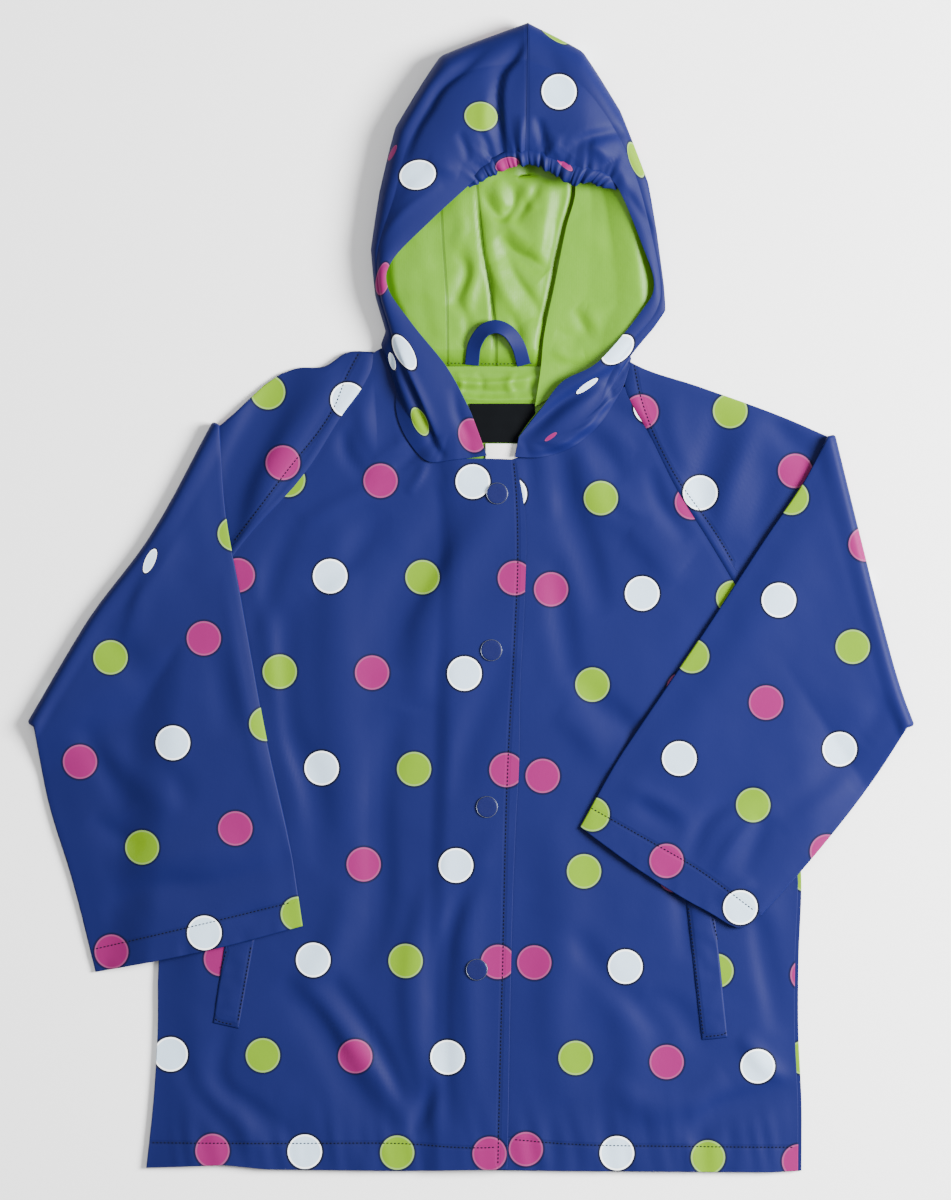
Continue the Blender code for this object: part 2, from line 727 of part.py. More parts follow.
def build_casing():
    """The gathered edge: a band that curls over the mouth in waves."""
    columns = CASING_WAVES * CASING_STEPS
    bands = 5
    clear = 1.4                     # past the hood's edge, towards the mouth
    narrowest = 3.5

    def place(u, v):
        seam = along(CASING_SEAM, CASING_END * u)
        mouth = along(CASING_MOUTH, u)
        toward = mouth - seam.xy
        width = max(toward.length - clear, narrowest)
        toward = toward.normalized()
        ends = smooth(min(u, 1.0 - u) * 8.0)
        turn = (0.75 + 0.5 * ends) * math.pi * v
        forward = clear + width * (1.0 - math.cos(min(turn, math.pi))) / 2.0
        forward -= 1.5 * max(0.0, turn / math.pi - 1.0)
        rise = CASING_BULGE * (0.5 + 0.5 * ends) * math.sin(turn)
        wave = CASING_AMPLITUDE * math.sin(0.5 * math.pi * v) * ends
        wave *= math.cos(2.0 * math.pi * CASING_WAVES * u)
        point = seam.xy + toward * (forward + wave * 0.6)
        return point.x, point.y, seam.z + rise + wave - 1.0 * v
    sew("hood_casing", grid(columns, bands, place), (45.0, 290.0, 26.0))


# ---------------------------------------------------------------- small pieces
def flat_patch(corners):
    """A patch between four corners: upper left, upper right, lower right, left."""
    upper_left, upper_right, lower_right, lower_left = corners
    return patch(edge_of([lower_left, lower_right]), edge_of([upper_left, upper_right]),
                 edge_of([lower_left, upper_left]), edge_of([lower_right, upper_right]))


def build_tags():
    floor = WALL + SEAM_GAP + LINING_WALL
    for name, corners, colour, wall, top in (
            ("back_neck", BACK_NECK_FACING, "lining", LINING_WALL, floor),
            ("neck_label", NECK_LABEL, "black", TAG_WALL,
             floor + SEAM_GAP + TAG_WALL),
            ("size_tag", SIZE_TAG, "white", TAG_WALL, floor + SEAM_GAP + TAG_WALL)):
        at = flat_patch(corners)

        def place(u, v):
            x, y = at(u, v)
            return x, y, top
        sew(name, grid(4, 4, place), BELOW, colour, wall)


def build_welts():
    for name, corners in WELTS.items():
        at = flat_patch(corners)
        top = right_front_top if name == "welt_right" else left_front_top

        def place(u, v):
            x, y = at(u, v)
            return x, y, top(x, y) + LAYER_GAP + WALL
        sew(name, grid(2, 8, place), BELOW)


def build_loop():
    """A flat band that arches up from the back neck seam."""
    base = LINING_INSET + LINING_WALL + SEAM_GAP + WALL

    def place(u, v):
        middle = along(LOOP_PATH, u)
        heading = (along(LOOP_PATH, u + 0.02) - along(LOOP_PATH, u - 0.02)).normalized()
        arch = math.sin(math.pi * u)
        tilt = math.radians(52.0) * arch
        across = Vector((-heading.y, heading.x)) * (v - 0.5) * LOOP_WIDTH
        point = middle + across * math.cos(tilt)
        z = base + LOOP_LIFT * arch - (v - 0.5) * LOOP_WIDTH * math.sin(tilt)
        return point.x, point.y, z
    sew("hanger_loop", grid(16, 2, place), BELOW)


def build_snaps():
    profile = [(0.0, 1.5), (0.72, 1.5), (0.80, 2.0), (0.94, 2.0), (1.0, 1.4), (1.0, 0.0),
               (0.0, 0.0)]
    for number, (x, y) in enumerate(SNAPS, start=1):
        bm = bmesh.new()
        verts = [bm.verts.new((radius * SNAP_RADIUS * MM, 0.0,
                               height / 2.0 * SNAP_HEIGHT * MM))
                 for radius, height in profile]
        for above, below in zip(verts, verts[1:]):
            bm.edges.new((above, below))
        piece = add_piece(f"snap_{number}", bm, "shell", 0.3)
        screw = piece.modifiers.new("turn", "SCREW")
        screw.steps = SNAP_STEPS
        screw.render_steps = SNAP_STEPS
        screw.use_merge_vertices = True
        screw.merge_threshold = 0.00001
        seat = max(right_front_top(x + SNAP_RADIUS * math.cos(a),
                                   y + SNAP_RADIUS * math.sin(a))
                   for a in (k * math.pi / 4.0 for k in range(8)))
        piece.location = Vector((x, y, seat + SEAM_GAP)) * MM


# ---------------------------------------------------------------- the coat
def clear_scene():
    for old in list(bpy.data.objects):
        bpy.data.objects.remove(old, do_unlink=True)


def build_coat():
    clear_scene()
    coat = bpy.data.collections.new(COLLECTION)
    bpy.context.scene.collection.children.link(coat)
    build_back()
    build_right_front()
    build_left_front()
    for name, cut in SLEEVES.items():
        build_sleeve(name, cut)
    build_hood()
    build_lining()
    build_casing()
    build_tags()
    build_welts()
    build_loop()
    build_snaps()


build_coat()
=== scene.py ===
"""A toddler raincoat laid flat: its cloth, print, lining, stitches and snaps.

Tables are in millimetres: X runs to the wearer's left, Y from the hem to the
hood, Z up from the floor. "Right" and "left" are the wearer's own sides.
"""

import math
from bisect import bisect_right

import bmesh
import bpy
from mathutils import Matrix, Vector, noise
from mathutils.bvhtree import BVHTree


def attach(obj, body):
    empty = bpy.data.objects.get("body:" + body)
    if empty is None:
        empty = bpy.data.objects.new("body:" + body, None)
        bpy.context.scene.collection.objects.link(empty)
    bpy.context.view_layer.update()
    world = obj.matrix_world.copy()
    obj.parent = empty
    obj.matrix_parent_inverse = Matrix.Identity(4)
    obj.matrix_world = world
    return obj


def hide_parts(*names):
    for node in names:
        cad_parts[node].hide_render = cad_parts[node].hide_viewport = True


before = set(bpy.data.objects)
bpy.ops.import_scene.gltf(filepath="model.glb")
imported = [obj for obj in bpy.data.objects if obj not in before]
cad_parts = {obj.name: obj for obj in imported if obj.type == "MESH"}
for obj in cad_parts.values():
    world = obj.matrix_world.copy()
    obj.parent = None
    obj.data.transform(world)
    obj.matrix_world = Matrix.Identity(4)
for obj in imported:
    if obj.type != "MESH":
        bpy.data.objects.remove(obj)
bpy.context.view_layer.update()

MM = 0.001

# ---------------------------------------------------------------- sizes
WALL = 1.2              # the coated cloth
LINING_WALL = 1.0
LINING_SHELL = 0.6      # the loose lining, which is thinner than its solid
TAG_WALL = 0.8
SEAM_GAP = 0.3
LAYER_GAP = 0.5
SEAM_LAP = 1.5
SHOULDER_TUCK = 1.5     # how far a front goes under the sleeve and the hood there
BACK_GAP = 2.0
FRONT_TOP = 4.6         # top of the fronts above the floor
SIDE_TOP = WALL + SEAM_GAP + WALL
SIDE_RAMP = 30.0
LAP_WIDTH = 45.0        # how far the fronts overlap
LAP_MARGIN = 1.5
LAP_RAMP = 13.0
LAP_FOLDS = 0.75        # how much of the folds is left in the lap, in both layers
ARMHOLE_START = -20.0   # y from which a front ends at its raglan seam
FRONT_LOWEST = 2.5      # a trough stays off the back
FRONT_HIGHEST = 7.6
UNDER_SLEEVE = 5.6      # a ridge stays under the sleeves
FOLD_DEPTH = 1.45       # the tables' heights on the fronts, times this
FOLD_RADIUS = 3.3
SLEEVE_HALF = 2.2
SLEEVE_RIDE = 6.1       # underside of the folded sleeve over the body
SLEEVE_FLAT = 1.5       # half its thickness there
SLEEVE_EDGE = 0.75      # how thin it is at its folded edges, as a share of that
RAGLAN_STEP = 0.30      # how high a sleeve's seam lies on the front
RAGLAN_DIP = 0.20       # how far a front sinks there, under the sleeve
NECK_STEP = 0.95        # how high the hood's seam lies on the fronts
CUFF_RIDE = 5.8
CUFF_HALF = 1.25
FLOOR_CLEAR = 0.9
DROP_START = 5.0
HOOD_LOWER_TUCK = 0.8
LINING_INSET = WALL + 0.8
LINING_FOLD = 3.2
LINING_LOWEST = 1.6     # the lining stays above the hood's lower wall
LINING_BULGE = 0.60     # how near the lining comes to the hood's left edge
LINING_PUFF = 3.6       # how high the loose lining lies inside the hood
PLEAT_COVER = 7.0
LOOP_WIDTH = 9.5
LOOP_LIFT = 8.0
SNAP_RADIUS = 7.5
RIM = 0.0005            # metres: narrow outermost cells keep the edges crisp

# ---------------------------------------------------------------- outlines
HEM = [(-224, -393), (-170, -391), (-141, -394), (-49, -395), (25, -394),
       (61, -395), (207, -396), (228, -395)]
SIDE_RIGHT = [(-224, -393), (-219, -346), (-216, -291), (-216, -264), (-188, -12)]
SIDE_LEFT = [(228, -395), (228, -346), (226, -305), (226, -250), (228, -195),
             (205, -31)]
RAGLAN_RIGHT = [(-188, -10), (-161, 33), (-112, 89), (-88, 127), (-73, 148),
                (-68, 159), (-67, 170)]
RAGLAN_LEFT = [(205, -29), (179, 14), (164, 39), (141, 76), (121, 116),
               (111, 133), (105.5, 147), (106, 157), (107, 165.5)]
NECK_RIGHT = [(11, 98), (-13, 95), (-30, 94), (-42, 106), (-52, 131),
              (-51.5, 145), (-54, 158), (-59, 169)]
NECK_LEFT = [(30, 97), (48, 97), (68, 103), (89, 120), (99, 135),
             (105.5, 147), (108.5, 157), (110.5, 165)]
# the right front's own edge, under the hood up to the shoulder
FRONT_NECK_RIGHT = [(11, 98), (-13, 95), (-30, 94), (-38, 107), (-43, 128), (-47, 146),
                    (-52, 162), (-58, 177.5)]
LAP_EDGE = [(25, -394), (31, -152), (33, -117), (34, -58), (37, 0), (37, 61),
            (31, 95)]
BACK_NECK = [(-60, 161), (18, 156.5), (103, 156.5)]

SLEEVES = {
    "right_sleeve": dict(
        raglan=RAGLAN_RIGHT,
        shoulder=[(-67, 170), (-86, 170), (-102, 160), (-120, 159), (-178, 122)],
        fold=[(-178, 122), (-223, 40), (-264, -15), (-281, -43), (-306, -86)],
        armpit=[(-188, -10), (-306, -86)],
        inner=[(-178, 122), (-169, 57), (-159, 3), (-140, -101), (-124, -174),
               (-116, -226)],
        outer=[(-306, -86), (-292, -139), (-275, -195), (-259, -258)],
        cuff=[(-116, -226), (-169, -240), (-216, -250), (-259, -258)],
        side=-1, drop=34.0),
    "left_sleeve": dict(
        raglan=RAGLAN_LEFT,
        shoulder=[(107, 165.5), (112, 162.5), (158, 146), (220, 123), (251, 113)],
        fold=[(251, 113), (269, 40), (283, -15), (299, -70), (306, -88)],
        armpit=[(205, -29), (306, -88)],
        inner=[(251, 113), (231, 83), (204, 43), (160, -24), (115, -90),
               (103, -108), (75, -158)],
        outer=[(306, -88), (277, -126), (233, -181), (200, -218)],
        cuff=[(75, -158), (121, -191), (163, -216), (188, -227), (200, -218)],
        side=1, drop=60.0),
}

# a row for each section from the neck seam to the centre seam:
# mouth x, y, z; crease x, y, z; mid x, y, z; outer x, y; edge height; spine x, y
HOOD_RIGHT = [
    (0, 128, 11, -26, 112, 12, -49, 137, 8.5, -61, 171, 4.5, 19, 171),
    (-16, 158, 16, -41, 145, 17, -54, 158, 11, -62, 175, 6, 20, 188),
    (-40, 188, 20, -50, 180, 21, -55, 181, 17, -59, 184, 8, 21, 206),
    (-57, 213, 24, -61, 211, 24, -63, 210, 20, -66, 208, 11, 23, 223),
    (-54, 232, 26, -59, 236, 27, -64, 239, 23, -69, 240, 12, 23, 237),
    (-28, 259, 27, -41, 269, 31, -53, 275, 28, -63, 280, 13, 25, 257),
    (-2, 283, 28, -21, 299, 34, -41, 316, 30, -52, 324, 14, 26, 275),
    (18, 301, 29, 5, 331, 38, -11, 357, 32, -21, 373, 14, 28, 292),
    (37, 306, 30, 38, 337, 39, 38.5, 370, 33, 39, 396, 14, 28, 309),
]
HOOD_LEFT = [
    (33, 111, 10, 58, 110, 11, 89, 133, 8.5, 110, 167, 4.5, 19, 171),
    (48, 130, 13, 70, 128, 14, 93, 147, 11, 115, 173, 6, 20, 185),
    (63, 149, 16, 82, 148, 17, 99, 160, 13, 120, 179, 7, 21, 197),
    (88, 163, 18, 97, 164, 19, 110, 175, 16, 126, 186, 8.5, 22, 210),
    (117, 197, 22, 122, 197, 22, 127, 197, 19, 134, 198, 10, 23, 223),
    (126, 216, 23, 128, 216, 22, 130.5, 216, 18, 133, 215, 11, 23, 237),
    (117, 245, 25.5, 120.5, 247, 25, 124.5, 249, 21, 128, 252, 12, 25, 250),
    (101, 282, 28, 108, 287, 31, 114, 288, 28, 122, 286, 13, 26, 266),
    (88, 291, 29, 94, 309, 35, 98, 323, 33, 103, 335, 14, 27, 282),
    (66, 296, 29.5, 70, 326, 38, 73, 354, 34, 77, 376, 14, 28, 296),
    (37, 306, 30, 38, 337, 39, 38.5, 370, 33, 39, 396, 14, 28, 309),
]
SPINE_START = (18, 158)
LINING_FOOT = 160.0     # where the lining is sewn to the back of the neck
LINING_SEAMS = [[(-16, 158), (-16.6, 206), (-19.3, 247), (-20.7, 272)],
                [(4, 286), (6.5, 262), (9.5, 233), (14.5, 206), (17, 188), (17.5, 160)]]
LINING_PLEAT = [(44, 132), (48, 158), (50, 179), (57, 213), (66, 257), (72, 282),
                (68, 300), (56, 316)]
CASING_MOUTH = [(3, 278), (12, 288), (23, 293), (37, 297), (48, 295), (60, 288),
                (70, 283), (81, 285), (89, 280), (94, 276)]
CASING_SEAM = [row[0:3] for row in HOOD_RIGHT[-3:] + HOOD_LEFT[-2:-5:-1]]
CENTRE_X, CROWN_START = 38.5, 300.0     # the seam between the hood's halves
CENTRE_SEAM = [(CENTRE_X, 400), (CENTRE_X, CROWN_START)]
CASING_WAVES = 14
CASING_START = -3.2     # behind the hood's edge, within its cloth
CASING_BULGE = 3.0
CASING_DEPTH = 2.2      # of the creases between the ruffles
WELTS = {
    "welt_right": [(-149, -235), (-170, -239), (-178, -293), (-160, -297)],
    "welt_left": [(148, -208), (168, -216), (177, -303), (159, -305)],
}
BACK_NECK_FACING = [(-38, 166), (62, 163), (54, 90), (-24, 90)]
WELT_STEP = 0.55
FACING_TUCK = 157.0     # above this the facing goes under the hood's lining
NECK_LABEL = [(-1, 134), (44, 134), (44, 107), (-1, 107)]
SIZE_TAG = [(10, 106.4), (32, 106.4), (32, 95.6), (10, 95.6)]
SNAPS = [(18, 72), (14, -36), (11, -144), (4, -256)]
LOOP_PATH = [(0.5, 160.5), (3, 176), (10, 185), (17, 187), (25, 184), (32, 175),
             (36.5, 160.5)]

# ---------------------------------------------------------------- folds
# a row for each: soft half width on the left and right of its run, height, and the
# x and y of each point of the run
RIGHT_FRONT_FOLDS = [
    (10, 14, -2.4, 0, 80, -22, 38, -49, -10, -60, -50),
    (12, 11, 1.7, 24, 70, -8, 22, -30, -28, -36, -75),
    (9, 11, -2.0, -50, -78, -54, -93, -63, -139, -64, -222, -78, -262),
    (10, 9, -1.6, -127, -6, -127, -93, -109, -130, -104, -190),
    (15, 14, 1.6, -88, 52, -92, -20, -90, -90, -84, -160),
    (10, 8, -1.7, 24, -38, 14, -60, -3, -107, -8, -140),
    (6, 6, -2.7, 8, -186, -14, -225, -20, -272, -19, -318, -14, -368),
    (9, 8, 1.9, -24, -190, -38, -240, -40, -290, -30, -345),
    (7, 11, -1.7, -132, -262, -105, -292, -83, -334, -55, -368),
    (6, 7, 1.1, -112, -266, -78, -312, -56, -342, -44, -366),
    (5, 6, -1.5, -96, -262, -62, -312, -46, -348),
    (5, 5, -1.6, -24, -332, -30, -348, -42, -372),
    (6, 8, -1.2, -166, -288, -172, -334, -150, -352, -118, -374),
    (7, 7, -0.9, -205, -300, -196, -330, -168, -366),
    (8, 7, 0.9, -196, -330, -170, -352, -140, -385),
    (8, 8, -1.1, -120, 60, -136, 20, -150, -30),
    (8, 6, 1.2, -150, 22, -140, -30, -132, -90, -120, -160),
    (10, 10, 1.3, -86, -196, -96, -240, -120, -280),
    (8, 10, -1.3, -60, 60, -84, 26, -112, 4),
    (6, 6, 1.0, -58, 80, -96, 62, -118, 50),
    (4, 4, -0.8, -64, 150, -65, 136, -62, 118, -55, 104),
    (5, 5, 0.8, -76, 136, -74, 118, -66, 99),
    (5, 5, -1.2, -88, 118, -86, 100, -72, 82),
    (8, 7, 1.3, 20, -150, 2, -200, -2, -270, 4, -350),
]
LEFT_FRONT_FOLDS = [
    (8, 9, -2.2, 50, 97, 66, 65, 81, 25, 91, -12),
    (8, 8, -1.6, 57, 30, 62, -10, 70, -62),
    (10, 11, 1.8, 70, 96, 96, 66, 120, 50, 150, 24),
    (5, 6, -1.1, 90, 78, 104, 58, 124, 50),
    (9, 9, 1.0, 108, 44, 124, 34, 142, 8),
    (9, 8, -1.6, 70, -52, 92, -76, 124, -98),
    (9, 9, 1.5, 60, -78, 92, -104, 128, -132),
    (9, 9, -1.2, 64, -226, 95, -263, 138, -304),
    (8, 8, -0.9, 120, -272, 140, -282, 160, -312),
    (13, 14, 1.4, 54, -150, 64, -210, 58, -290, 66, -350),
    (9, 7, -2.1, 196, -216, 201, -240, 214, -300),
    (7, 6, 1.5, 186, -300, 202, -322, 226, -334),
    (8, 9, -2.4, 152, -378, 170, -356, 196, -346, 230, -336),
    (8, 10, 1.5, 96, -330, 120, -350, 150, -346, 176, -330),
    (12, 12, 1.2, 84, -244, 110, -300, 112, -352),
    (6, 8, -1.3, 138, -160, 144, -190, 150, -250),
    (6, 6, -1.0, 122, 92, 130, 66, 150, 40),
]
# short puckers at the neck seam: share along it, length, half width, height
NECK_PUCKERS_RIGHT = [(0.10, 16, 3.0, -0.8), (0.20, 24, 3.5, 0.8), (0.29, 15, 2.5, -0.9),
                      (0.38, 26, 3.2, 0.8), (0.46, 20, 3.2, -0.8), (0.56, 28, 4.0, 0.7)]
NECK_PUCKERS_LEFT = [(0.08, 30, 5.0, -0.8), (0.18, 44, 6.0, 0.8), (0.28, 36, 5.0, -0.8),
                     (0.39, 30, 4.6, 0.7), (0.50, 40, 5.0, -0.9), (0.61, 32, 4.6, 0.6),
                     (0.72, 34, 4.6, -0.7), (0.84, 26, 4.2, 0.4)]
UPPER_SLEEVE_FOLDS = {
    "right_sleeve": [
        (12, 11, -5.0, -118, 172, -134, 142, -150, 112, -163, 80, -169, 46, -164, 8),
        (9, 10, 3.2, -92, 158, -108, 132, -127, 102, -143, 72, -151, 38),
        (8, 8, 1.0, -146, 146, -162, 124, -176, 104),
    ],
    "left_sleeve": [
        (9, 8, -2.6, 170, 134, 168, 112, 160, 84, 156, 56),
        (8, 7, 2.4, 196, 128, 190, 108, 178, 74, 170, 40),
        (8, 7, -1.6, 208, 92, 200, 66, 192, 40),
        (8, 7, -1.8, 206, 126, 222, 106, 238, 96),
        (8, 7, 1.2, 138, 142, 140, 110, 150, 84),
    ],
}
LOWER_SLEEVE_FOLDS = {
    "right_sleeve": [
        (9, 12, -2.3, -255, -216, -218, -200, -179, -198, -142, -187, -118, -176),
        (5, 5, -1.1, -170, -222, -145, -218, -116, -212),
        (9, 7, -1.6, -270, -86, -252, -118, -238, -146),
        (9, 10, 1.2, -262, -96, -238, -116, -205, -150),
        (11, 4.5, 1.7, -211, 50, -216, 34, -224, 16, -230, -4, -240, -36),
        (6, 8, -1.2, -262, -150, -244, -164, -226, -172),
        (9, 9, -1.2, -178, -34, -172, -66, -166, -98),
        (8, 7, -1.0, -216, -108, -205, -124, -194, -146),
        (12, 11, -1.4, -252, -20, -236, -42, -222, -62),
        (7, 6, 1.4, -170, 22, -160, -48, -146, -112, -134, -160),
        (9, 9, 1.2, -252, -186, -206, -178, -160, -170),
        (12, 12, 0.9, -206, 70, -212, 30, -206, -20),
    ],
    "left_sleeve": [
        (9, 8, -1.0, 212, -148, 240, -126, 256, -112, 274, -96),
        (7, 6, -2.0, 150, -184, 164, -150, 182, -138, 200, -134),
        (6, 7, -1.4, 186, -192, 196, -168, 204, -150),
        (5, 5, 1.4, 168, -190, 180, -170, 196, -152),
        (7, 7, -1.3, 112, -140, 130, -152, 146, -162),
        (6, 6, 1.1, 104, -128, 124, -136, 150, -150),
        (20, 14, 1.3, 240, 60, 190, -30, 130, -118),
        (8, 8, -1.2, 286, -66, 278, -84, 266, -98),
        (7, 8, 0.8, 214, -160, 236, -146, 262, -128),
        (4, 4, 1.0, 170, -210, 184, -200, 196, -196),
    ],
}
HOOD_FOLDS = [
    (1.5, 5, -3.0, -56, 181, -48, 160, -38, 138, -29, 117, -19, 98, -8, 92),
    (4, 2.2, 1.3, -50, 172, -42, 152, -32, 130, -24, 112),
    (4, 4, -1.1, -12, 146, -8, 124, 4, 104),
    (3, 6, -2.4, 13.5, 382, -3.5, 364, -20, 350, -29, 335, -35, 326, -46, 300),
    (4.5, 6, 1.0, 2, 384, -14, 368, -32, 350, -44, 330, -54, 306),
    (2.2, 7.5, -4.2, 37, 386, 31, 372, 22, 360, 19.5, 350, 20, 326, 23, 300),
    (7, 5, 1.2, 26, 370, 14, 348, 10, 322, 14, 304),
    (6, 6, 2.6, 38, 332, 36, 320, 33, 304),
    (3.0, 3.0, -1.4, -9, 320, -4, 310, -1, 300),
    (3.0, 3.4, -1.7, 6, 322, 11, 312, 14, 302),
    (5, 5, 1.2, -30, 300, -20, 296, -8, 292),
    (6, 6, -1.0, -60, 262, -40, 290, -18, 300),
    (3, 4, 0.9, -66, 240, -48, 264, -20, 284),
    (4.5, 3.6, -2.4, 110, 322, 92, 319, 76, 314, 68, 305),
    (5, 5, 2.0, 82, 312, 90, 306, 95, 300),
    (5, 6, 1.8, 98, 300, 104, 290, 106, 276),
    (2.6, 3.0, -1.9, 46, 330, 49, 318, 50, 304),
    (4, 4, 1.4, 58, 320, 58, 310, 60, 300),
    (7, 8, 1.0, 82, 372, 92, 346, 104, 318),
    (6, 8, -0.9, 46, 392, 58, 366, 66, 340),
    (3, 3, -0.8, 126, 250, 116, 266, 104, 284),
    (4.2, 6, -4.4, 32, 108, 46, 120, 62, 134, 88, 150, 102, 160),
    (7, 5, 3.0, 40, 98, 61, 105, 88, 125, 102, 144),
    (3, 3, -1.1, 94, 150, 98, 136, 94, 126),
]
LINING_FOLDS = [
    (1.6, 1.4, -2.2, 3.3, 286, 5.2, 261, 7.9, 239, 12.5, 217, 14.6, 193, 17, 160),
    (4.5, 4.5, 1.2, 9, 282, 12, 260, 15, 238, 19, 216, 21, 194),
    (3.6, 3.4, -2.0, 8, 284, 14, 268, 21, 262, 28, 268, 30, 286),
    (4.5, 4.5, 1.8, 18, 288, 21, 276, 24, 268),
    (3.4, 3.8, -1.9, 29, 258, 36, 268, 42, 277, 48, 286),
    (4.2, 4.2, 1.4, 38, 288, 40, 276, 44, 266),
    (6.0, 10.0, 2.6, 52, 288, 50, 262, 47, 240, 41, 228),
    (4.0, 8.0, -2.8, 20, 250, 31, 238, 42, 233, 52, 224),
    (5.0, 4.0, 1.2, 23, 262, 33, 250, 40, 242),
    (3.8, 4.4, -1.7, 22, 240, 33, 218, 44, 202, 49, 188),
    (5.5, 5.0, 1.6, 14, 230, 25, 208, 36, 190),
    (4.0, 5.0, -1.8, 64, 284, 60, 262, 56, 240, 52, 216, 47, 190),
    (3.6, 3.6, -1.1, 28, 198, 32, 182, 31, 168),
    (4.0, 4.0, 0.9, 39, 192, 41, 178, 40, 166),
    (4.4, 5.0, -2.0, -10, 240, -3, 225, -9, 209, -14, 199),
    (4.6, 4.6, 1.7, -3, 250, 3, 230, -1, 208, -5, 190),
    (3.8, 4.4, -1.5, -12, 208, -5, 197, -2, 184, -6, 172),
    (4.2, 4.6, 1.0, -8, 268, -6, 254, -12, 242),
    (3.4, 3.8, -0.9, 4, 190, 6, 178, 5, 168),
    (8, 6, 1.0, -30, 232, -27, 206, -20, 178),
    (5.0, 5.0, 1.4, 76, 203, 86, 191, 97, 179),
    (4.0, 4.0, -1.0, 70, 200, 78, 187, 86, 176),
    (4.0, 4.0, 1.1, 56, 172, 66, 166, 78, 168),
    (4.0, 5.0, -0.8, 58, 184, 70, 180, 82, 184),
    (4.0, 5.0, 0.9, 104, 208, 92, 198, 80, 200),
    (9.0, 9.0, 0.8, 74, 262, 86, 246, 104, 238),
]
NECK_FACING_FOLDS = [
    (2.4, 3.2, 2.0, -30, 152, 10, 148, 54, 153),
    (2.0, 2.4, -0.9, -20, 146, 16, 142, 50, 145),
    (2.2, 2.0, 1.6, -22, 140, 14, 136, 52, 138),
    (2.2, 2.6, -1.0, 4, 156, 8, 148, 4, 138),
    (2.0, 3.0, 1.2, 30, 156, 26, 147, 32, 138),
    (2.0, 2.6, 1.0, -10, 156, -6, 148, -9, 140),
    (2.0, 2.4, -0.8, 44, 154, 41, 147, 45, 140),
]

# ---------------------------------------------------------------- the print
SPOT_RADIUS = 11.9
# red, green, blue, and how pale the rim is
INKS = {
    "white": (0.47, 0.605, 0.74, 1.0),
    "pink": (0.170, 0.0062, 0.080, 0.030),
    "green": (0.118, 0.230, 0.0036, 0.060),
}
INK_ORDER = ("white", "pink", "green")
# where a white spot lies, the half step along a row, the step to the next row
PRINTS = {
    "right_front": ((-97.1, 15.0), (31.83, -0.32), (-2.91, -66.12)),
    "left_front": ((118.0, 3.1), (31.39, -1.44), (-2.9, -64.31)),
    "right_lower": ((-205.3, -99.8), (32.14, 6.55), (10.85, -65.45)),
    "left_lower": ((212.0, -1.5), (25.45, -16.05), (-34.27, -54.51)),
    "back": ((168.4, -189.8), (31.8, -0.6), (-1.0, -63.0)),
    "under_sleeve": ((-150.0, 60.0), (22.4, 21.7), (46.6, -48.1)),
}
# single spots: x, y, radius along, radius across, turn in degrees, ink
UPPER_SLEEVE_SPOTS = {
    "right_sleeve": [(-140, 142, 12, 12, 0, "green"), (-129.7, 93.2, 12, 12, 0, "pink"),
                     (-84.9, 136.6, 12, 12, 0, "white")],
    "left_sleeve": [(178.7, 129, 12, 12, 0, "green"), (223.6, 87.6, 12, 12, 0, "pink"),
                    (158, 72.5, 12, 12, 0, "white"), (117.3, 128.3, 12, 12, 0, "pink")],
}
HOOD_SPOTS = {
    "hood_right": [(-36.6, 290.5, 12.6, 10, 12, "white"), (6.9, 330.5, 11.5, 10, -8, "green"),
                   (-60.5, 219.4, 11.5, 4.8, 78, "pink"), (-46, 169, 13.5, 6, -60, "white"),
                   (-35.2, 121.5, 10.5, 5, -65, "green"), (1, 112, 12, 9.5, -70, "pink"),
                   (-54.3, 163, 6.2, 2.1, -75, "white"), (23.5, 297.5, 7, 5, 0, "pink"),
                   (-54, 306, 6, 1.6, 62, "pink")],
    "hood_left": [(60.5, 347.5, 12, 12.2, 0, "white"), (113.6, 301.5, 13, 4.6, -70, "green"),
                  (57, 388.5, 12, 4.2, -36, "green"), (101, 171, 13, 8, 40, "white"),
                  (80, 146, 9, 2, 35, "white"), (55, 111, 5, 1.4, 35, "pink")],
}
# on the lower right sleeve the fold leaves a sliver of one spot
HALF_HIDDEN = (-227.0, 31.1)
SLIVER = (-221.0, 25.5, 9.0, 3.4, 66, "white")
CASING_SPOTS = [(25, 297.5, 8.4, 5.2, 14, "pink"), (64, 298.5, 7.6, 2.3, -42, "pink")]

# ---------------------------------------------------------------- seams
# stitch rows: the piece that they are sewn on, and their run
STITCH_ROWS = [
    ("right_front_panel", [(-220, -375.6), (-126, -376), (-49, -376), (9.7, -378.8),
        (17, -378.4)]),
    ("left_front_panel", [(30, -373.3), (61, -376), (146, -378), (223, -378.8)]),
    ("right_front_panel", [(18.6, -390), (22, -250), (25.5, -115.2), (30.4, -24.8),
        (32.4, 25.5), (30.5, 84), (29.5, 94)]),
    ("right_sleeve_cloth", [(-76, 171), (-86, 152), (-94, 132), (-128, 86), (-164, 38)]),
    ("left_sleeve_cloth", [(112.5, 161), (117, 139), (140, 86), (170, 43), (181, 24)]),
    ("right_sleeve_cloth", [(-259, -242), (-198, -227.7), (-169, -220.8), (-124, -209.8)]),
    ("left_sleeve_cloth", [(82.5, -144.5), (124.9, -168.4), (154.6, -185.6), (196, -216)]),
    ("welt_right_cloth", [(-168.5, -243), (-175.6, -291), (-162, -294.4)]),
    ("welt_right_cloth", [(-160.5, -291.5), (-151.5, -240)]),
    ("welt_left_cloth", [(150, -213), (160.4, -302)]),
    ("welt_left_cloth", [(161.5, -302.4), (174.8, -300.6), (166.4, -220)]),
]
HEM_STITCHES = -377.0
NECK_STITCHES = [(-17, 162), (15, 161.4), (44, 161.8)]     # on the lining
STITCH_PITCH = 2.6
STITCH_LENGTH = 2.0
STITCH_RADIUS = 0.48


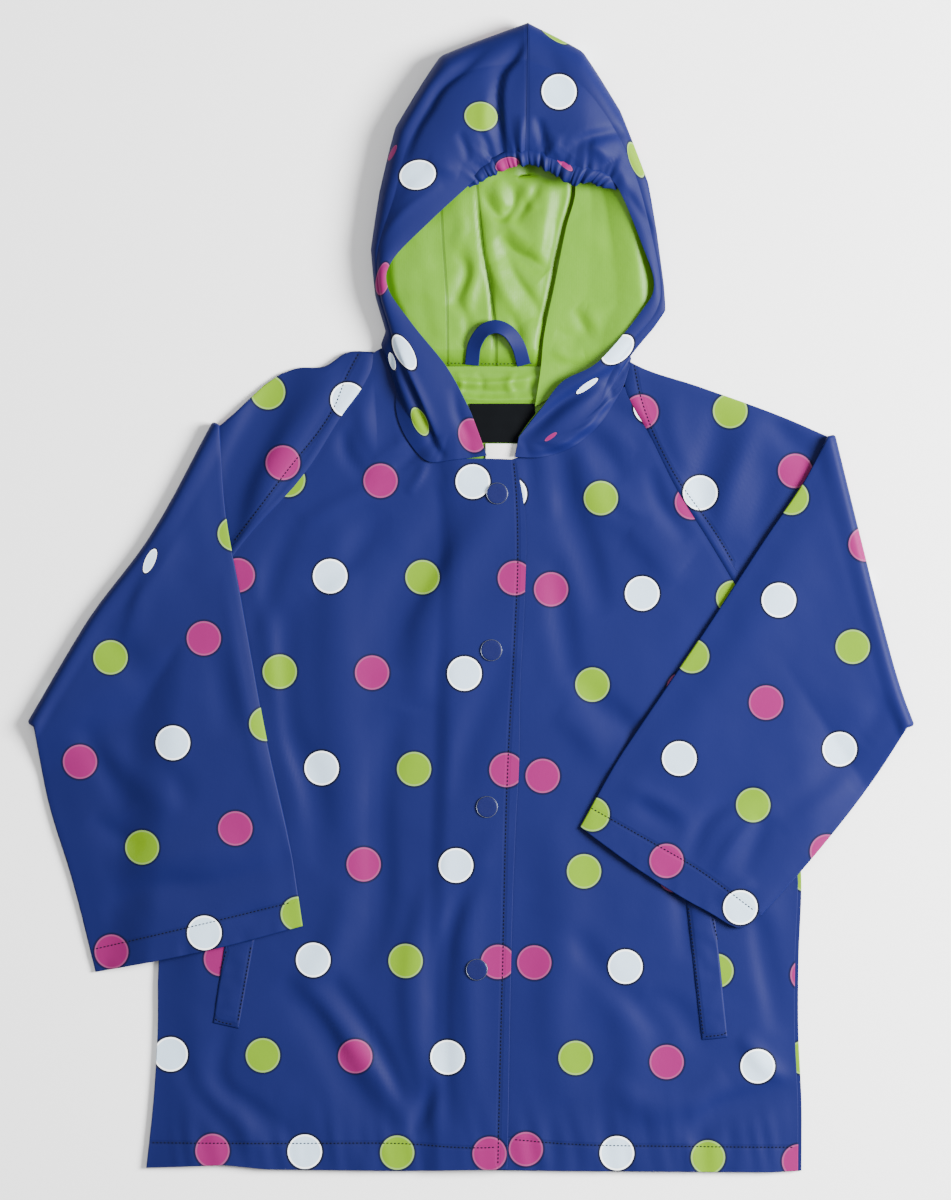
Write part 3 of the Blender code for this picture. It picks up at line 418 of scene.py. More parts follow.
# ---------------------------------------------------------------- plan tools
def smooth(t):
    """An S curve from 0 to 1."""
    t = min(max(t, 0.0), 1.0)
    return t * t * (3.0 - 2.0 * t)


def ease(a, start, b, end, t):
    """A soft curve from a to b that leaves at the slope start and comes in at end."""
    return (a * (1 + 2 * t) * (1 - t) ** 2 + start * t * (1 - t) ** 2
            + b * t * t * (3 - 2 * t) + end * t * t * (t - 1))


def soften(run, steps=5):
    """More points on a soft curve through the given ones."""
    if len(run) < 3:
        return run
    gaps = [max((b - a).length, 1e-6) for a, b in zip(run, run[1:])]
    slopes = [(b - a) / gap for a, b, gap in zip(run, run[1:], gaps)]
    turns = [slopes[0]]
    for k in range(1, len(run) - 1):
        turns.append((slopes[k - 1] * gaps[k] + slopes[k] * gaps[k - 1])
                     / (gaps[k - 1] + gaps[k]))
    turns.append(slopes[-1])
    return [run[0]] + [ease(run[k], turns[k] * gap, run[k + 1], turns[k + 1] * gap,
                            step / steps)
                       for k, gap in enumerate(gaps) for step in range(1, steps + 1)]


class Line:
    """A run of points that is read by the share of its length."""

    def __init__(self, points, soft=True):
        run = [Vector(point) for point in points]
        self.run = soften(run) if soft else run
        self.marks = [0.0]
        for start, end in zip(self.run, self.run[1:]):
            self.marks.append(self.marks[-1] + (end - start).length)
        self.flat = [(point.x, point.y) for point in self.run]

    @property
    def length(self):
        return self.marks[-1]

    def __call__(self, t):
        distance = min(max(t, 0.0), 1.0) * self.length
        place = min(bisect_right(self.marks, distance), len(self.run) - 1)
        start, end = self.marks[place - 1], self.marks[place]
        share = (distance - start) / (end - start) if end > start else 0.0
        return self.run[place - 1].lerp(self.run[place], share)

    def beside(self, t, distance):
        """The point at t, moved to the right of the run's direction."""
        heading = (self(t + 0.01) - self(t - 0.01)).normalized()
        return self(t) + Vector((heading.y, -heading.x)) * distance

    def nearest(self, x, y):
        """Signed distance, above 0 on the left of the run, and share of the length."""
        best, found = 1e18, (0.0, 0.0)
        for k in range(len(self.flat) - 1):
            x0, y0 = self.flat[k]
            dx, dy = self.flat[k + 1][0] - x0, self.flat[k + 1][1] - y0
            span = dx * dx + dy * dy
            if span == 0.0:
                continue
            ahead = ((x - x0) * dx + (y - y0) * dy) / span
            ahead = 0.0 if ahead < 0.0 else 1.0 if ahead > 1.0 else ahead
            off_x, off_y = x - x0 - ahead * dx, y - y0 - ahead * dy
            gap = off_x * off_x + off_y * off_y
            if gap < best:
                best = gap
                side = 1.0 if dx * off_y - dy * off_x > 0.0 else -1.0
                found = (side, self.marks[k] + ahead * (self.marks[k + 1] - self.marks[k]))
        return found[0] * math.sqrt(best), found[1] / self.length


class Fold:
    """A soft ridge, or a trough where its height is below 0, along a line."""

    def __init__(self, left, right, height, *run):
        self.line = Line(zip(run[::2], run[1::2]))
        self.left, self.right, self.height = left, right, height
        reach = 2.4 * max(left, right)
        xs, ys = zip(*self.line.flat)
        self.west, self.east = min(xs) - reach, max(xs) + reach
        self.south, self.north = min(ys) - reach, max(ys) + reach

    def __call__(self, x, y):
        if not (self.west < x < self.east and self.south < y < self.north):
            return 0.0
        distance, share = self.line.nearest(x, y)
        width = self.left if distance > 0.0 else self.right
        taper = math.sin(math.pi * min(max(share, 0.0), 1.0)) ** 0.7
        return self.height * taper * math.exp(-(distance / width) ** 2)


def folds(table):
    made = [Fold(*row) for row in table]
    return lambda x, y: sum(fold(x, y) for fold in made)


def two_runs(first, second, share):
    """One edge from two runs that meet at a corner, the first its share."""
    def at(t):
        if t < share:
            return first(t / share)
        return second((t - share) / (1.0 - share))
    return at


def patch(south, north, west, east):
    """A surface between four edges, each a function from 0 to 1."""
    def at(u, v):
        ruled = south(u).lerp(north(u), v) + west(v).lerp(east(v), u)
        corners = south(0).lerp(south(1), u).lerp(north(0).lerp(north(1), u), v)
        return ruled - corners
    return at


def x_at(points, y):
    """The x of a run at height y, held past its ends."""
    run = sorted(points, key=lambda point: point[1])
    if y <= run[0][1]:
        return run[0][0]
    for (x0, y0), (x1, y1) in zip(run, run[1:]):
        if y <= y1:
            return x0 + (x1 - x0) * (y - y0) / (y1 - y0)
    return run[-1][0]


def drift(x, y, size, seed):
    """Slow unevenness of a cloth that has been laid down by hand, -1 to 1."""
    return noise.noise((x / size, y / size, seed))


# ---------------------------------------------------------------- the print
class Spot:
    """A printed spot: its centre, its radii, its turn in degrees and its ink."""

    def __init__(self, x, y, along, across, turn, ink):
        self.x, self.y, self.along, self.across = x, y, along, across
        self.cos, self.sin = math.cos(math.radians(turn)), math.sin(math.radians(turn))
        self.ink = ink

    def offset(self, x, y):
        """The way from the centre to (x, y), in shares of the radii."""
        dx, dy = x - self.x, y - self.y
        return ((dx * self.cos + dy * self.sin) / self.along,
                (dy * self.cos - dx * self.sin) / self.across)


def lattice(name):
    """A finder of the nearest spot of a pattern."""
    origin, half, down = PRINTS[name]
    size = half[0] * down[1] - half[1] * down[0]

    def at(x, y):
        dx, dy = x - origin[0], y - origin[1]
        column = (dx * down[1] - dy * down[0]) / size
        row = round((half[0] * dy - half[1] * dx) / size)
        step = 2 * round((column - row) / 2.0) + row
        return Spot(origin[0] + step * half[0] + row * down[0],
                    origin[1] + step * half[1] + row * down[1],
                    SPOT_RADIUS, SPOT_RADIUS, 0.0, INK_ORDER[step % 3])
    return at


def single_spots(table):
    """The same for spots that are listed one by one."""
    spots = [Spot(*row) for row in table]
    return lambda x, y: min(spots, key=lambda spot: math.hypot(*spot.offset(x, y)))


NO_SPOT = Spot(9000.0, 0.0, 1.0, 1.0, 0.0, "white")


# ---------------------------------------------------------------- mesh tools
def grid_line(share, cells, rim):
    """Where a line of a grid lies, the outermost cells as narrow as rim."""
    line = round(share * cells)
    if rim == 0.0 or line in (0, cells):
        return line / cells
    return rim + (1.0 - 2.0 * rim) * (line - 1) / (cells - 2)


def add_object(name, bm, finishes):
    """An object made of a bmesh, which is spent."""
    mesh = bpy.data.meshes.new(name)
    bm.to_mesh(mesh)
    bm.free()
    mesh.shade_smooth()
    for finish in finishes:
        mesh.materials.append(finish)
    made = bpy.data.objects.new(name, mesh)
    bpy.context.scene.collection.objects.link(made)
    return made


class Cloth:
    """A grid of cloth with its print, its seams and its cut."""

    def __init__(self, columns, rows, place, cut, printed=None, seams=(), rim=RIM):
        bm = self.bm = bmesh.new()
        bmesh.ops.create_grid(bm, x_segments=columns, y_segments=rows, size=0.5)
        spot = bm.loops.layers.float_vector.new("spot")
        ink = bm.loops.layers.float_color.new("ink")
        seam = bm.verts.layers.float.new("seam")
        flat = bm.loops.layers.uv.new("cloth")
        layers = {}
        for vert in bm.verts:
            u = grid_line(vert.co.x + 0.5, columns, rim / cut[0])
            v = grid_line(vert.co.y + 0.5, rows, rim / cut[1])
            for loop in vert.link_loops:
                loop[flat].uv = (u * cut[0], v * cut[1])
            x, y, z, *layer = place(u, v)
            layers[vert] = layer
            gaps = [line.nearest(x, y)[0] for line, on in seams
                    if on is None or on in layer]
            side = math.prod(math.copysign(1.0, gap) for gap in gaps)
            vert[seam] = side * min((abs(gap) for gap in gaps), default=30.0)
            vert.co = Vector((x, y, z)) * MM
        for face in bm.faces:
            x, y = face.calc_center_median().xy / MM
            nearest = printed(x, y, *layers[face.verts[0]]) if printed else NO_SPOT
            for loop in face.loops:
                loop[spot] = (*nearest.offset(*loop.vert.co.xy / MM), 0.0)
                loop[ink] = INKS[nearest.ink]

    def facing(self, inner):
        """Turn the faces so that they look away from a point inside."""
        self.bm.normal_update()
        inner = Vector(inner) * MM
        outward = sum(face.calc_area() * face.normal.dot(face.calc_center_median() - inner)
                      for face in self.bm.faces)
        if outward < 0.0:
            bmesh.ops.reverse_faces(self.bm, faces=self.bm.faces)
        self.bm.normal_update()
        return self

    def sink(self, amount):
        """Move the cloth inward; at the hood's centre seam the move loses its x."""
        moves = []
        for vert in self.bm.verts:
            direction = vert.normal.copy()
            x, y, z = vert.co / MM
            if y > CROWN_START and 36.0 < x < 40.0:
                direction.x = 0.0
                if y < 345.0:       # behind the casing
                    direction = Vector((0.0, 0.0, 1.0))
                direction.normalize()
            moves.append((vert, -direction * amount * MM))
        for vert, move in moves:
            vert.co += move

    def piece(self, name, finishes, wall=WALL):
        made = add_object(name, self.bm, finishes)
        solidify = made.modifiers.new("wall", "SOLIDIFY")
        solidify.thickness = wall * MM
        solidify.offset = -1.0
        solidify.material_offset = len(finishes) - 1
        return made


BELOW = (0.0, 0.0, -9000.0)     # a point that every upper surface looks away from


def settle(piece, node, rests_on=()):
    """The cloth stands for its solid and rides with the coat."""
    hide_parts(node)
    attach(piece, "root")


# ---------------------------------------------------------------- finishes
class Number:
    """A shader socket that takes part in sums."""

    def __init__(self, finish, socket):
        self.finish, self.socket = finish, socket

    def maths(self, operation, first, second):
        return self.finish.value("ShaderNodeMath", {"operation": operation},
                                 {0: first, 1: second})

    def __add__(self, other):
        return self.maths("ADD", self, other)

    def __sub__(self, other):
        return self.maths("SUBTRACT", self, other)

    def __rsub__(self, other):
        return self.maths("SUBTRACT", other, self)

    def __mul__(self, other):
        return self.maths("MULTIPLY", self, other)

    __radd__, __rmul__ = __add__, __mul__


class Finish:
    """A material and the nodes that it is made of."""

    def __init__(self, name, constants):
        self.material = bpy.data.materials.new(name)
        self.material.use_nodes = True
        self.tree = self.material.node_tree
        self.shader = self.tree.nodes["Principled BSDF"]
        for socket, value in constants.items():
            self.shader.inputs[socket].default_value = value

    def node(self, kind, settings=None, sockets=None):
        made = self.tree.nodes.new(kind)
        for name, value in (settings or {}).items():
            setattr(made, name, value)
        for name, value in (sockets or {}).items():
            self.join(value, made.inputs[name])
        return made

    def join(self, value, socket):
        if isinstance(value, Number):
            value = value.socket
        if isinstance(value, bpy.types.NodeSocket):
            self.tree.links.new(value, socket)
        else:
            socket.default_value = value

    def value(self, kind, settings=None, sockets=None, output=0):
        return Number(self, self.node(kind, settings, sockets).outputs[output])

    def attribute(self, name, output="Fac"):
        return self.value("ShaderNodeAttribute", {"attribute_name": name}, output=output)

    def step(self, value, low, high):
        """0 below low, 1 above high, soft between."""
        return self.value("ShaderNodeMapRange", {"interpolation_type": "SMOOTHSTEP"},
                          {"Value": value, "From Min": low, "From Max": high})

    def blend(self, factor, first, second):
        made = self.node("ShaderNodeMix", {"data_type": "RGBA"})
        self.join(factor, made.inputs["Factor"])
        self.join(first, made.inputs[6])
        self.join(second, made.inputs[7])
        return Number(self, made.outputs[2])

    def place(self):
        return self.node("ShaderNodeTexCoord").outputs["Object"]

    def grain(self, scale, detail=2.0):
        """Noise over the cloth, at a scale in waves to a metre."""
        return self.value("ShaderNodeTexNoise", None,
                          {"Vector": self.place(), "Scale": scale, "Detail": detail})

    def rib(self, direction, scale, distortion, detail=2.0):
        return self.value("ShaderNodeTexWave", {"bands_direction": direction},
                          {"Vector": self.place(), "Scale": scale,
                           "Distortion": distortion, "Detail": detail})

    def bump(self, height):
        """Relief from a height in metres."""
        self.feed("Normal", self.value("ShaderNodeBump", None, {
            "Height": height, "Strength": 1.0, "Distance": 1.0}))

    def near_seam(self, reach):
        """1 on a seam, 0 from the square root of reach, in millimetres."""
        seam = self.attribute("seam")
        return 1.0 - self.step(seam * seam, 0.0, reach)

    def feed(self, socket, value):
        self.join(value, self.shader.inputs[socket])


def coated_cloth():
    """Blue coated cloth with printed spots, each with a pale rim and a dark edge, and painted
    shade along its seams.
    """
    made = Finish("coated_cloth", {"Specular IOR Level": 0.10})
    spot = made.value("ShaderNodeVectorMath", {"operation": "LENGTH"},
                      {0: made.attribute("spot", "Vector")}, "Value")
    ink = made.attribute("ink", "Color")
    paleness = made.attribute("ink", "Alpha")
    disc = 1.0 - made.step(spot, 0.98, 1.0)
    rim = made.step(spot, 0.88, 0.91) * disc * paleness
    edge = (1.0 - made.step(spot, 1.07, 1.14)) - disc
    blue = made.blend(made.grain(9.0, 3.0), (0.0036, 0.0056, 0.054, 1),
                      (0.0045, 0.0070, 0.066, 1))
    # painted shade: near its seams the blue is darkened, standing in for the shadow in the
    # stitched groove; the dark ring round each spot is print
    near = made.near_seam(5.0)
    spot_edge_and_seam_shade = edge * (0.60 + 0.28 * paleness) + near * 0.14
    shade = made.blend(spot_edge_and_seam_shade, blue, (0.0006, 0.0012, 0.0075, 1))
    printed = made.blend(rim, ink, (0.97, 1.0, 1.0, 1))
    made.feed("Base Color", made.blend(disc, shade, printed))
    fine = made.grain(1400.0, 2.0)
    made.feed("Roughness", 0.52 + fine * 0.10)
    made.bump(fine * 0.00003 - near * 0.00011 + made.grain(240.0, 3.0) * 0.00005)
    return made.material


def backing():
    """The knitted back of the coated cloth."""
    made = Finish("cloth_backing", {"Roughness": 0.85, "Specular IOR Level": 0.2})
    weave = made.grain(1600.0, 1.0)
    made.feed("Base Color", made.blend(weave, (0.007, 0.012, 0.04, 1), (0.013, 0.020, 0.06, 1)))
    made.bump(weave * 0.00006)
    return made.material


def lining_cloth():
    """Lime lining, a light satin with a fine rib, and painted shade along its seams."""
    made = Finish("lining_cloth", {"Specular IOR Level": 0.26})
    slow = made.grain(22.0, 3.0)
    near = made.near_seam(1.6)
    satin = made.blend(slow, (0.072, 0.196, 0.0030, 1), (0.096, 0.246, 0.0055, 1))
    # painted shade: along the seams the lime is darkened, standing in for the shadow in the
    # seam
    made.feed("Base Color", made.blend(near * 0.5, satin, (0.020, 0.060, 0.001, 1)))
    made.feed("Roughness", 0.42 + slow * 0.10)
    rib = made.rib("X", 260.0, 1.5, 1.0)
    made.bump(rib * 0.000012 - near * 0.00010 + made.grain(90.0, 3.0) * 0.0004)
    return made.material


def woven(name, dark, light, roughness, shine=0.5):
    """A woven tag."""
    made = Finish(name, {"Roughness": roughness, "Specular IOR Level": shine})
    rib = made.rib("Y", 420.0, 0.6)
    made.feed("Base Color", made.blend(rib, dark, light))
    made.bump(rib * 0.00006 + made.grain(900.0) * 0.00004)
    return made.material


def plain(name, colour, roughness, metallic=0.0, shine=0.5):
    """One colour with a fine grain."""
    made = Finish(name, {"Roughness": roughness, "Metallic": metallic,
                         "Specular IOR Level": shine})
    fine = made.grain(700.0)
    made.feed("Base Color", made.blend(fine, (*[c * 0.9 for c in colour], 1),
                                       (*[min(c * 1.1, 1.0) for c in colour], 1)))
    made.bump(fine * 0.00002)
    return made.material


CLOTH = coated_cloth()
BACKING = backing()
LINING = lining_cloth()
LABEL = woven("label_cloth", (0.0010, 0.0014, 0.0020, 1), (0.0030, 0.0036, 0.0046, 1), 0.8,
              0.05)
TAG = woven("tag_cloth", (0.70, 0.70, 0.69, 1), (0.82, 0.82, 0.82, 1), 0.6)
CAP = plain("snap_cap", (0.0036, 0.0052, 0.053), 0.46, shine=0.14)
METAL = plain("snap_ring", (0.13, 0.15, 0.20), 0.42, 1.0)
THREAD = plain("thread_blue", (0.0018, 0.0030, 0.014), 0.7, shine=0.1)
LIME_THREAD = plain("thread_lime", (0.020, 0.052, 0.008), 0.7, shine=0.2)


# ---------------------------------------------------------------- heights
def side_distance(x, y):
    """How far (x, y) is inside the side seams; the armholes don't count."""
    inside = min(x - x_at(SIDE_RIGHT, y), x_at(SIDE_LEFT, y) - x)
    return inside + max(0.0, y + 60.0)


def lap_lift(x, y):
    """What the upper front adds to its height where it laps over the other."""
    into_lap = x - (x_at(LAP_EDGE, y) - LAP_WIDTH - LAP_MARGIN - LAP_RAMP)
    return (WALL + 2.0 * LAYER_GAP) * smooth(into_lap / LAP_RAMP)


def clear_of_lap(x, y):
    """1 away from the lap and the neck, 0 where the fronts lie on each other."""
    from_lap = abs(x - x_at(LAP_EDGE, y) + LAP_WIDTH / 2) - LAP_WIDTH / 2
    return smooth((from_lap - 3.0) / LAP_RAMP)


def neck_puckers(run, side, table):
    """Short folds that leave the neck seam squarely."""
    line, made = Line(run), []
    for share, length, half_width, height in table:
        start, end = line.beside(share, -4.0 * side), line.beside(share, length * side)
        middle = (start + end) / 2.0 + (end - start).orthogonal() * 0.06
        made.append((half_width, half_width * 1.3, height, *start, *middle, *end))
    return made


right_front_folds = folds(RIGHT_FRONT_FOLDS
                          + neck_puckers(NECK_RIGHT[:-1], -1, NECK_PUCKERS_RIGHT))
left_front_folds = folds(LEFT_FRONT_FOLDS
                         + neck_puckers(NECK_LEFT[:-1], 1, NECK_PUCKERS_LEFT))


def hem_ripple(x, y, seed):
    """Small ripples of the turned hem, strongest at its stitches."""
    above = y - HEM_STITCHES
    fade = math.exp(-(above / (26.0 if above > 0 else 40.0)) ** 2)
    return 0.85 * fade * noise.noise((x / 7.5 + above * 0.02, above / 45.0, seed))


def held_between(z, low, high):
    """Bend z back softly from both limits."""
    room = (high - low) / 2.0
    middle = (high + low) / 2.0
    return middle + room * math.tanh((z - middle) / room)


raglan_lines = {-1: Line(RAGLAN_RIGHT), 1: Line(RAGLAN_LEFT)}
sleeve_lines = {cut["side"]: (Line(cut["inner"]), Line(cut["cuff"]))
                for cut in SLEEVES.values()}


def highest(side, x, y):
    """How high a ridge may rise: less beside and below a folded sleeve."""
    outside = max(-side * line.nearest(x, y)[0] for line in sleeve_lines[side])
    covered = 1.0 - smooth((outside - 5.0) / 22.0)
    return FRONT_HIGHEST + (UNDER_SLEEVE - FRONT_HIGHEST) * covered


def held_front(side, x, y, move, keep, shared, seeds):
    """A front's height: its own folds, kept off what lies below and above it.

    It sinks near its raglan seam, so that the sleeve lies on it evenly.
    """
    move += 0.5 * drift(x, y, 55.0, seeds[0]) + 0.22 * drift(x, y, 17.0, seeds[1])
    move += hem_ripple(x, y, seeds[2])
    edge = smooth(side_distance(x, y) / SIDE_RAMP)
    base = SIDE_TOP + (FRONT_TOP - SIDE_TOP + 0.35) * edge + shared
    height = held_between(base + move * keep * (0.35 + 0.65 * edge),
                          FRONT_LOWEST - 0.6 * (1.0 - edge), highest(side, x, y))
    if y < ARMHOLE_START:
        return height
    inside = side * raglan_lines[side].nearest(x, y)[0]
    return height - RAGLAN_DIP * smooth((5.0 - inside) / 5.0)


def right_front_top(x, y):
    keep = LAP_FOLDS + (1.0 - LAP_FOLDS) * clear_of_lap(x, y)
    move = FOLD_DEPTH * right_front_folds(x, y)
    return held_front(-1, x, y, move, keep, 0.0, (1.7, 4.1, 3.3)) + lap_lift(x, y)


def left_front_top(x, y):
    """Under the lap it has the right front's folds."""
    under = x_at(LAP_EDGE, y) - x
    shared = LAP_FOLDS * FOLD_DEPTH * right_front_folds(x, y) * smooth((under - 3.0) / 9.0)
    keep = 0.25 + 0.75 * smooth((4.0 - under) / 16.0)
    move = FOLD_DEPTH * left_front_folds(x, y)
    return held_front(1, x, y, move, keep, shared, (7.7, 9.1, 6.3))


FRONT_TOPS = {-1: right_front_top, 1: left_front_top}


# ---------------------------------------------------------------- body
def raglan_edge(run, side, amount, at_neck=-2.5):
    """A body panel's raglan edge: moved towards the sleeve by amount inside."""
    line = Line(run)

    def at(t):
        armpit, neck = smooth(t / 0.2), smooth((1.0 - t) / 0.2)
        shift = -0.6 * (1.0 - armpit) + at_neck * (1.0 - neck) + amount * armpit * neck
        return line.beside(t, side * shift)
    return at


def seam_lines(node):
    """The node's stitch rows; a sleeve's first is on its upper part."""
    lines = [Line(run) for piece, run in STITCH_ROWS if piece.startswith(node)]
    return list(zip(lines, ("upper", "lower") if node in SLEEVES else [None] * len(lines)))


def lay_panel(node, at, top, cells, cut, finishes, rests_on):
    """A body panel on the surface at, with its height."""
    def place(u, v):
        x, y = at(u, v)
        return x, y, top(x, y)
    cloth = Cloth(*cells, place, cut, lattice(node), seam_lines(node)).facing(BELOW)
    settle(cloth.piece(node + "_panel", finishes), node, rests_on)


def lay_back():
    share = 0.6                     # of the side seam in the panel's edge
    west = two_runs(Line(SIDE_RIGHT), raglan_edge(RAGLAN_RIGHT[:-1], -1, -BACK_GAP), share)
    east = two_runs(Line(SIDE_LEFT), raglan_edge(RAGLAN_LEFT[:-1], 1, -BACK_GAP), share)
    neck = [west(1.0)] + [Vector(point) for point in BACK_NECK] + [east(1.0)]
    at = patch(Line(HEM, soft=False), Line(neck, soft=False), west, east)
    lay_panel("back", at, lambda x, y: WALL, (60, 80), (0.46, 0.56), [CLOTH],
              ())


def lay_right_front():
    corner = 10 / 16                # where the raglan edge meets the neck edge
    lap_line, neck_line = Line(LAP_EDGE), Line(FRONT_NECK_RIGHT)
    raglan = raglan_edge(RAGLAN_RIGHT, -1, SEAM_LAP, SHOULDER_TUCK)

    def neck(t):
        return neck_line.beside(1.0 - t, SEAM_LAP * smooth(t / 0.25))
    upper = two_runs(raglan, neck, corner)

    def north(t):
        return upper(t).lerp(lap_line(1.0), smooth((t - 0.9) / 0.1))
    hem = Line([point for point in HEM if point[0] <= 25], soft=False)
    lay_panel("right_front", patch(hem, north, Line(SIDE_RIGHT), lap_line),
              right_front_top, (100, 170), (0.25, 0.5), [CLOTH, BACKING],
              ("back", "left_front_panel"))


def lay_left_front():
    corner = 6 / 16                 # where the neck edge meets the raglan edge
    inset = 2.5                     # the back shows as a thin strip outside it
    lap_line, side_line, neck_line = Line(LAP_EDGE), Line(SIDE_LEFT), Line(NECK_LEFT[:-2])
    raglan = raglan_edge(RAGLAN_LEFT[:-2], 1, SEAM_LAP, SHOULDER_TUCK)

    def under_lap(t):
        return lap_line(t) - Vector((LAP_WIDTH, 2.0 * t))

    def side(t):
        return side_line(t) - Vector((inset * smooth((1.0 - t) / 0.3), 0.0))
    neck = [under_lap(1.0), (26, 94)]
    neck += [neck_line.beside(k / 8, 0.6 - (SEAM_LAP + 0.6) * smooth(k / 2))
             for k in range(7)]
    neck = Line(neck + [neck_line.beside(1.0, -SHOULDER_TUCK)])
    hem = [under_lap(0.0)] + [point for point in HEM if point[0] > 25][:-1] + [side(0.0)]
    at = patch(Line(hem, soft=False), two_runs(neck, lambda t: raglan(1.0 - t), corner),
               under_lap, side)
    lay_panel("left_front", at, left_front_top, (100, 170), (0.25, 0.5),
              [CLOTH, BACKING], ("back",))


# ---------------------------------------------------------------- sleeves
ACROSS = 46             # columns over the flat of a sleeve
EDGE_STEPS = 8          # steps round each rolled edge
UPPER_STEPS, TURN_STEPS, LOWER_STEPS = 36, 12, 84
AXIS_HEIGHT = FOLD_RADIUS + SLEEVE_HALF     # of the turn, and its reach in plan


def ring_slots():
    """(share across, outward, lift) for each point round a flattened sleeve."""
    across = [k / ACROSS for k in range(ACROSS + 1)]
    roll = [(math.sin(a), math.cos(a))
            for a in (math.pi * k / EDGE_STEPS for k in range(1, EDGE_STEPS))]
    return ([(share, 0.0, 1.0) for share in across] + [(1.0, s, c) for s, c in roll]
            + [(share, 0.0, -1.0) for share in reversed(across)]
            + [(0.0, -s, -c) for s, c in roll])


def off_the_support(x, y, side, armpit, elbow):
    """How far (x, y) lies outside the body and the upper sleeve below it."""
    past_side = side * (x - x_at(SIDE_RIGHT if side < 0 else SIDE_LEFT, y))
    run = (Vector(elbow) - Vector(armpit)).normalized()
    offset = Vector((x, y)) - Vector(armpit)
    return min(past_side, -side * (run.x * offset.y - run.y * offset.x))


def lay_sleeve(name, cut):
    """A flattened tube: its upper part, its turn over the fold, its lower part."""
    side, top = cut["side"], 2.0 * SLEEVE_HALF
    fold_line = Line(cut["fold"])
    fold_run = (fold_line(1.0) - fold_line(0.0)).normalized()
    outward = Vector((fold_run.y, -fold_run.x)) * -side
    front_top = FRONT_TOPS[side]
    upper_folds = folds(UPPER_SLEEVE_FOLDS[name])
    lower_folds = folds(LOWER_SLEEVE_FOLDS[name])
    spots = {"upper": single_spots(UPPER_SLEEVE_SPOTS[name]),
             "lower": lattice("right_lower" if side < 0 else "left_lower"),
             "hidden": lattice("under_sleeve")}
    slots = ring_slots()
    stations = UPPER_STEPS + TURN_STEPS + LOWER_STEPS

    def axis(t, v=0.0):
        return fold_line(t) - outward * AXIS_HEIGHT

    def edge_line(key, end):
        """An edge whose end at the fold is moved in from the silhouette."""
        run = [Vector(point) for point in cut[key]]
        run[end] -= outward * AXIS_HEIGHT
        return Line(run)

    # u runs from the shoulder edge to the underarm edge, v from neck to cuff
    upper = patch(Line(cut["raglan"][::-1]), axis, edge_line("shoulder", -1),
                  edge_line("armpit", -1))
    lower = patch(axis, Line(cut["cuff"]), edge_line("inner", 0), edge_line("outer", 0))

    def flat_point(at, v, share, roll, half):
        """Where a slot of the ring lies in plan."""
        first, last = at(0.0, v), at(1.0, v)
        width = (last - first).length
        edge = half(0.0) / width
        across = (last - first) / width
        return at(edge + share * (1.0 - 2.0 * edge), v) + across * roll * half(share)

    def even_half(share):
        return SLEEVE_HALF

    def upper_point(v, share, roll, lift):
        point = flat_point(upper, v, share, roll, even_half)
        x, y, z = point.x, point.y, SLEEVE_HALF * (1.0 + lift)
        if lift > 0.0:              # at the raglan seam it lies on the front's own folds
            move = upper_folds(x, y) + 0.35 * drift(x, y, 30.0, side * 2.2)
            own = held_between(top + move * smooth((1.0 - v) / 0.12), 1.6,
                               highest(side, x, y))
            on_seam = front_top(x, y) + RAGLAN_STEP * smooth(v / 0.008) - 0.25 * (v == 0.0)
            z += (on_seam + (own - on_seam) * smooth(v / 0.16) - top) * lift
        return x, y, z

    def turn_point(t, share, roll, lift):
        base = flat_point(axis, t, share, roll, even_half)
        angle = math.pi * (t - 0.5)
        radius = FOLD_RADIUS - lift * SLEEVE_HALF
        point = base + outward * radius * math.cos(angle)
        return point.x, point.y, AXIS_HEIGHT + radius * math.sin(angle)

    def lower_point(v, share, roll, lift):
        flat = SLEEVE_FLAT + (CUFF_HALF - SLEEVE_FLAT) * smooth((v - 0.85) / 0.15)

        def half(share):
            thin = SLEEVE_EDGE + (1.0 - SLEEVE_EDGE) * smooth(min(share, 1.0 - share) * 7.0)
            return SLEEVE_HALF + (flat * thin - SLEEVE_HALF) * smooth(v / 0.06)
        point = flat_point(lower, v, share, roll, half)
        x, y = point.x, point.y
        start = AXIS_HEIGHT + FOLD_RADIUS - SLEEVE_HALF
        held = start + (SLEEVE_RIDE - start) * smooth(v / 0.15)
        held += (CUFF_RIDE - SLEEVE_RIDE) * v
        away = off_the_support(x, y, side, *cut["armpit"])
        drop = smooth((away - DROP_START) / cut["drop"])
        z = max(held + (FLOOR_CLEAR - held) * drop, 0.0) + half(share) * (1.0 + lift)
        if lift > 0.0:
            move = 0.9 * math.sin(math.pi * share) ** 0.8 + lower_folds(x, y)
            move += 0.45 * drift(x, y, 48.0, side * 5.2)
            move += 0.18 * drift(x, y, 15.0, side * 8.2)
            ripple = noise.noise((x / 8.0, y / 30.0, side * 3.0))
            move += 0.8 * smooth((v - 0.93) / 0.07) * ripple
            z += move * smooth(v / 0.08) * lift
        return x, y, z

    def place(u, v):
        station = round(v * stations)
        share, roll, lift = slots[round(u * len(slots)) % len(slots)]
        if station < UPPER_STEPS:
            t = 0.005 if station == 1 else station / UPPER_STEPS
            return (*upper_point(t, share, roll, lift), "upper" if lift > -0.5 else "hidden")
        if station <= UPPER_STEPS + TURN_STEPS:
            t = (station - UPPER_STEPS) / TURN_STEPS
            shows = lift < 0.5 and t > 0.4
            return (*turn_point(t, share, roll, lift), "lower" if shows else "hidden")
        t = (station - UPPER_STEPS - TURN_STEPS) / LOWER_STEPS
        if station == stations - 1:
            t = 0.9975
        # past the turn the cloth that was on top lies below
        return (*lower_point(t, share, roll, -lift), "lower" if lift < 0.5 else "hidden")

    def printed(x, y, layer):
        near = spots[layer](x, y)
        if layer == "lower" and math.dist((near.x, near.y), HALF_HIDDEN) < 6.0:
            return Spot(*SLIVER)
        return near

